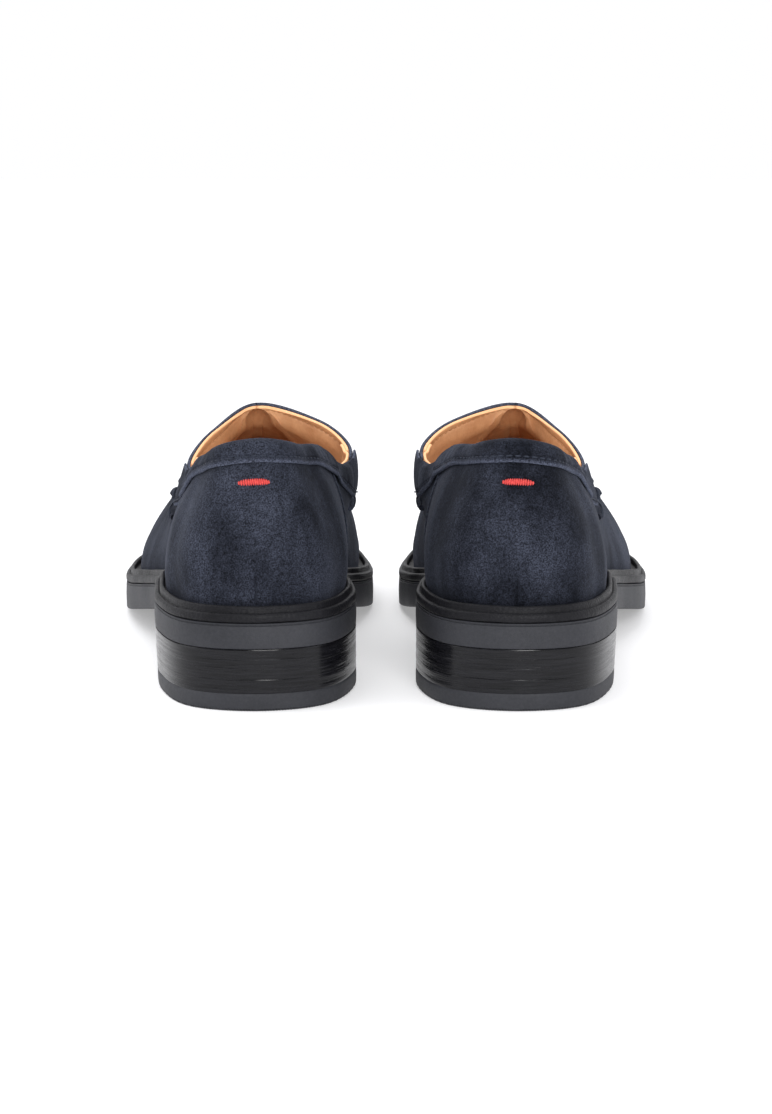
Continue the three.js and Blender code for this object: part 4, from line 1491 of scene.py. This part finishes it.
    @staticmethod
    def per_mm(k: Array, up: Array) -> Array:
        """The share of the way up that is one millimetre of wall."""
        step = np.linalg.norm(LAST.point(k, up + 0.01) - LAST.point(k, up), axis=-1)
        return 0.01 / step

    @staticmethod
    def share_below(station: float, distance: float) -> float:
        """The share of the way up that lies a distance below the top, along the wall."""
        up = np.linspace(0.4, 1, 600)
        wall = LAST.point(np.full(len(up), station), up)
        step = np.linalg.norm(np.diff(wall, axis=0), axis=1)
        left = np.concatenate([np.cumsum(step[::-1])[::-1], [0]])
        return float(np.interp(distance, left[::-1], up[::-1]))

    def lining_stitching(self) -> Shape:
        """The tan row inside the front of the opening."""
        k = stations(5.2, 7.0, 0.03)
        rows = []
        for side in (k, ROUND - k):
            one = np.ones(len(side))
            up = one - LINING_ROW * self.per_mm(side, one - 0.03)
            line, normal = on_upper(side, up, -SUEDE - LINING_GAP - LINING - 0.25)
            rows.append(Stitching(pitch=2.6, length=1.9, radius=0.26, height=0.05).row(line, -normal))
        return Shape.joined(rows)

    def bar_tack(self) -> Shape:
        """A plain bar of thread, worked over and over at the back of the heel."""
        width, height, below = 10.4, 2.5, 15.6
        turns = 14
        stitch = Stitching(length=height, radius=0.4, height=0.1, sides=10)
        up = np.array([self.share_below(0.0, below)])
        per_station = np.linalg.norm(LAST.point(0.5, up[0]) - LAST.point(-0.5, up[0]))
        beads = []
        for i in range(turns):
            share = 2 * i / (turns - 1) - 1
            k = np.array([share * width / 2 / per_station])
            centre, normal = on_upper(k, up, 0.35)
            out = normal[0]
            lean = np.array([0.16, 0.0, 1.0])
            run = unit(lean - out * np.dot(lean, out))
            stitch.length = height * math.sqrt(1 - 0.7 * share**4)
            arch = 0.4 * (1 - share**2)
            beads.append(stitch.one(centre[0] + out * arch, run, np.cross(out, run), out))
        return Shape.joined(beads)


@dataclass
class Fillings:
    """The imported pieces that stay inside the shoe."""

    nails: int = 5

    def finishes(self) -> dict[str, Slot]:
        """The finish of each hidden piece."""
        return {f"heel_nail_{i}": Slot.STEEL for i in range(1, self.nails + 1)} | {
            "cork_filler": Slot.CORK,
            "shank": Slot.STEEL,
            "insole_board": Slot.BOARD,
            "footbed_foam": Slot.FOAM,
            "heel_stiffener": Slot.STIFFENER,
            "toe_puff": Slot.STIFFENER,
        }

    def build(self, shoe: Shoe, nodes: dict[str, bpy.types.Object]) -> None:
        """Gives each hidden piece of a shoe its finish."""
        for name, slot in self.finishes().items():
            node = nodes[f"{shoe.side.word}_{name}"]
            node.data.materials.clear()
            node.data.materials.append(slot.material())
            LOG.info("%s: dressed", node.name)


def facing(away: Sequence[float]) -> tuple[float, float, float]:
    """How a light is turned so that it shines from a direction."""
    yaw = math.atan2(away[0], -away[1])
    pitch = math.atan2(math.hypot(away[0], away[1]), away[2])
    return pitch, 0, yaw


@dataclass
class Studio:
    """Floor, light and camera."""

    distance: float = 822.0
    height: float = 190.0
    tilt: float = 9.31
    focal: float = 77.24
    floor_size: float = 30.0

    def build(self, back: float) -> None:
        """Sets the studio up.

        Args:
            back: where the backs of the heels are, along Y in metres.
        """
        self.floor()
        self.lights()
        self.camera(back)
        scene = bpy.context.scene
        scene.view_settings.view_transform = "Standard"
        scene.view_settings.look = "None"
        scene.view_settings.exposure = 0.0

    def floor(self) -> None:
        """A wide pale floor."""
        size = self.floor_size
        mesh = bpy.data.meshes.new("floor")
        corners = [(-size, -size, 0), (size, -size, 0), (size, size, 0), (-size, size, 0)]
        mesh.from_pydata(corners, [], [(0, 1, 2, 3)])
        n = Nodes("floor_white")
        n.set(Base_Color=(0.72, 0.72, 0.73, 1), Roughness=0.9, Specular_IOR_Level=0.05)
        n.set(Emission_Color=(1.0, 1.0, 1.0, 1.0), Emission_Strength=0.32)
        mesh.materials.append(n.material)
        placed("floor", mesh)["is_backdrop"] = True

    def lights(self) -> None:
        """A white tent, darker behind the camera, with a wide light above and three panels round the shoes."""
        world = bpy.data.worlds.new("tent")
        bpy.context.scene.world = world
        world.use_nodes = True
        tree = world.node_tree
        direction = tree.nodes.new("ShaderNodeTexCoord").outputs["Generated"]
        axes = tree.nodes.new("ShaderNodeSeparateXYZ")
        tree.nodes["Background"].inputs["Color"].default_value = (1.0, 1.0, 1.02, 1.0)
        bright = tree.nodes.new("ShaderNodeMapRange")
        bright.interpolation_type = "SMOOTHSTEP"
        for name, number in (("From Min", -0.9), ("From Max", 0.1), ("To Min", 0.22), ("To Max", 1.0)):
            bright.inputs[name].default_value = number
        tree.links.new(direction, axes.inputs[0])
        tree.links.new(axes.outputs["Y"], bright.inputs["Value"])
        tree.links.new(bright.outputs[0], tree.nodes["Background"].inputs["Strength"])
        self.overhead((-0.3, 0.15, 1.0), 1.5, 60)
        self.area("left_panel", (-1.3, -0.2, 0.45), (-0.08, -0.1, 0.03), 0.9, 4.0)
        self.area("right_panel", (1.3, -0.2, 0.45), (0.08, -0.1, 0.03), 0.9, 3.0)
        self.area("front", (0.25, -1.6, 0.6), (0.0, 0.0, 0.08), 0.6, 18.0)

    @staticmethod
    def overhead(towards: tuple[float, float, float], strength: float, spread: float) -> None:
        """A very wide, even light from above.

        Args:
            towards: the direction that it comes from.
            strength: how bright it is.
            spread: how wide it looks, in degrees.
        """
        light = bpy.data.lights.new("overhead", "SUN")
        light.energy = strength
        light.angle = math.radians(spread)
        placed("overhead", light).rotation_euler = facing(towards)

    @staticmethod
    def area(name: str, place: tuple[float, float, float], aim: tuple[float, float, float], size: float,
             power: float) -> None:
        """A square soft light.

        Args:
            name: its name.
            place: where it stands, in metres.
            aim: the point that it faces.
            size: the length of its side.
            power: in watts.
        """
        light = bpy.data.lights.new(name, "AREA")
        light.size = size
        light.energy = power
        lamp = placed(name, light)
        lamp.location = place
        lamp.rotation_euler = facing(np.array(place) - np.array(aim))

    def camera(self, back: float) -> None:
        """The camera, low behind the heels."""
        data = bpy.data.cameras.new("camera")
        data.sensor_width = 36
        data.lens = self.focal
        data.clip_start, data.clip_end = 0.05, 100
        camera = placed("camera", data)
        camera.location = (0, back - self.distance / 1000, self.height / 1000)
        camera.rotation_euler = (math.radians(90 - self.tilt), 0, 0)
        bpy.context.scene.camera = camera


def main() -> None:
    """Builds the pair and the studio."""
    logging.basicConfig(level=logging.INFO, format="%(name)s %(message)s")
    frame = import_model()
    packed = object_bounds()
    Studio().build(packed[0][1])
    for side in (Side.LEFT, Side.RIGHT):
        shoe = Shoe(side)
        SoleUnit().build(shoe)
        Upper().build(shoe)
        Fillings().build(shoe, frame["nodes"])


if __name__ == "__main__":
    main()
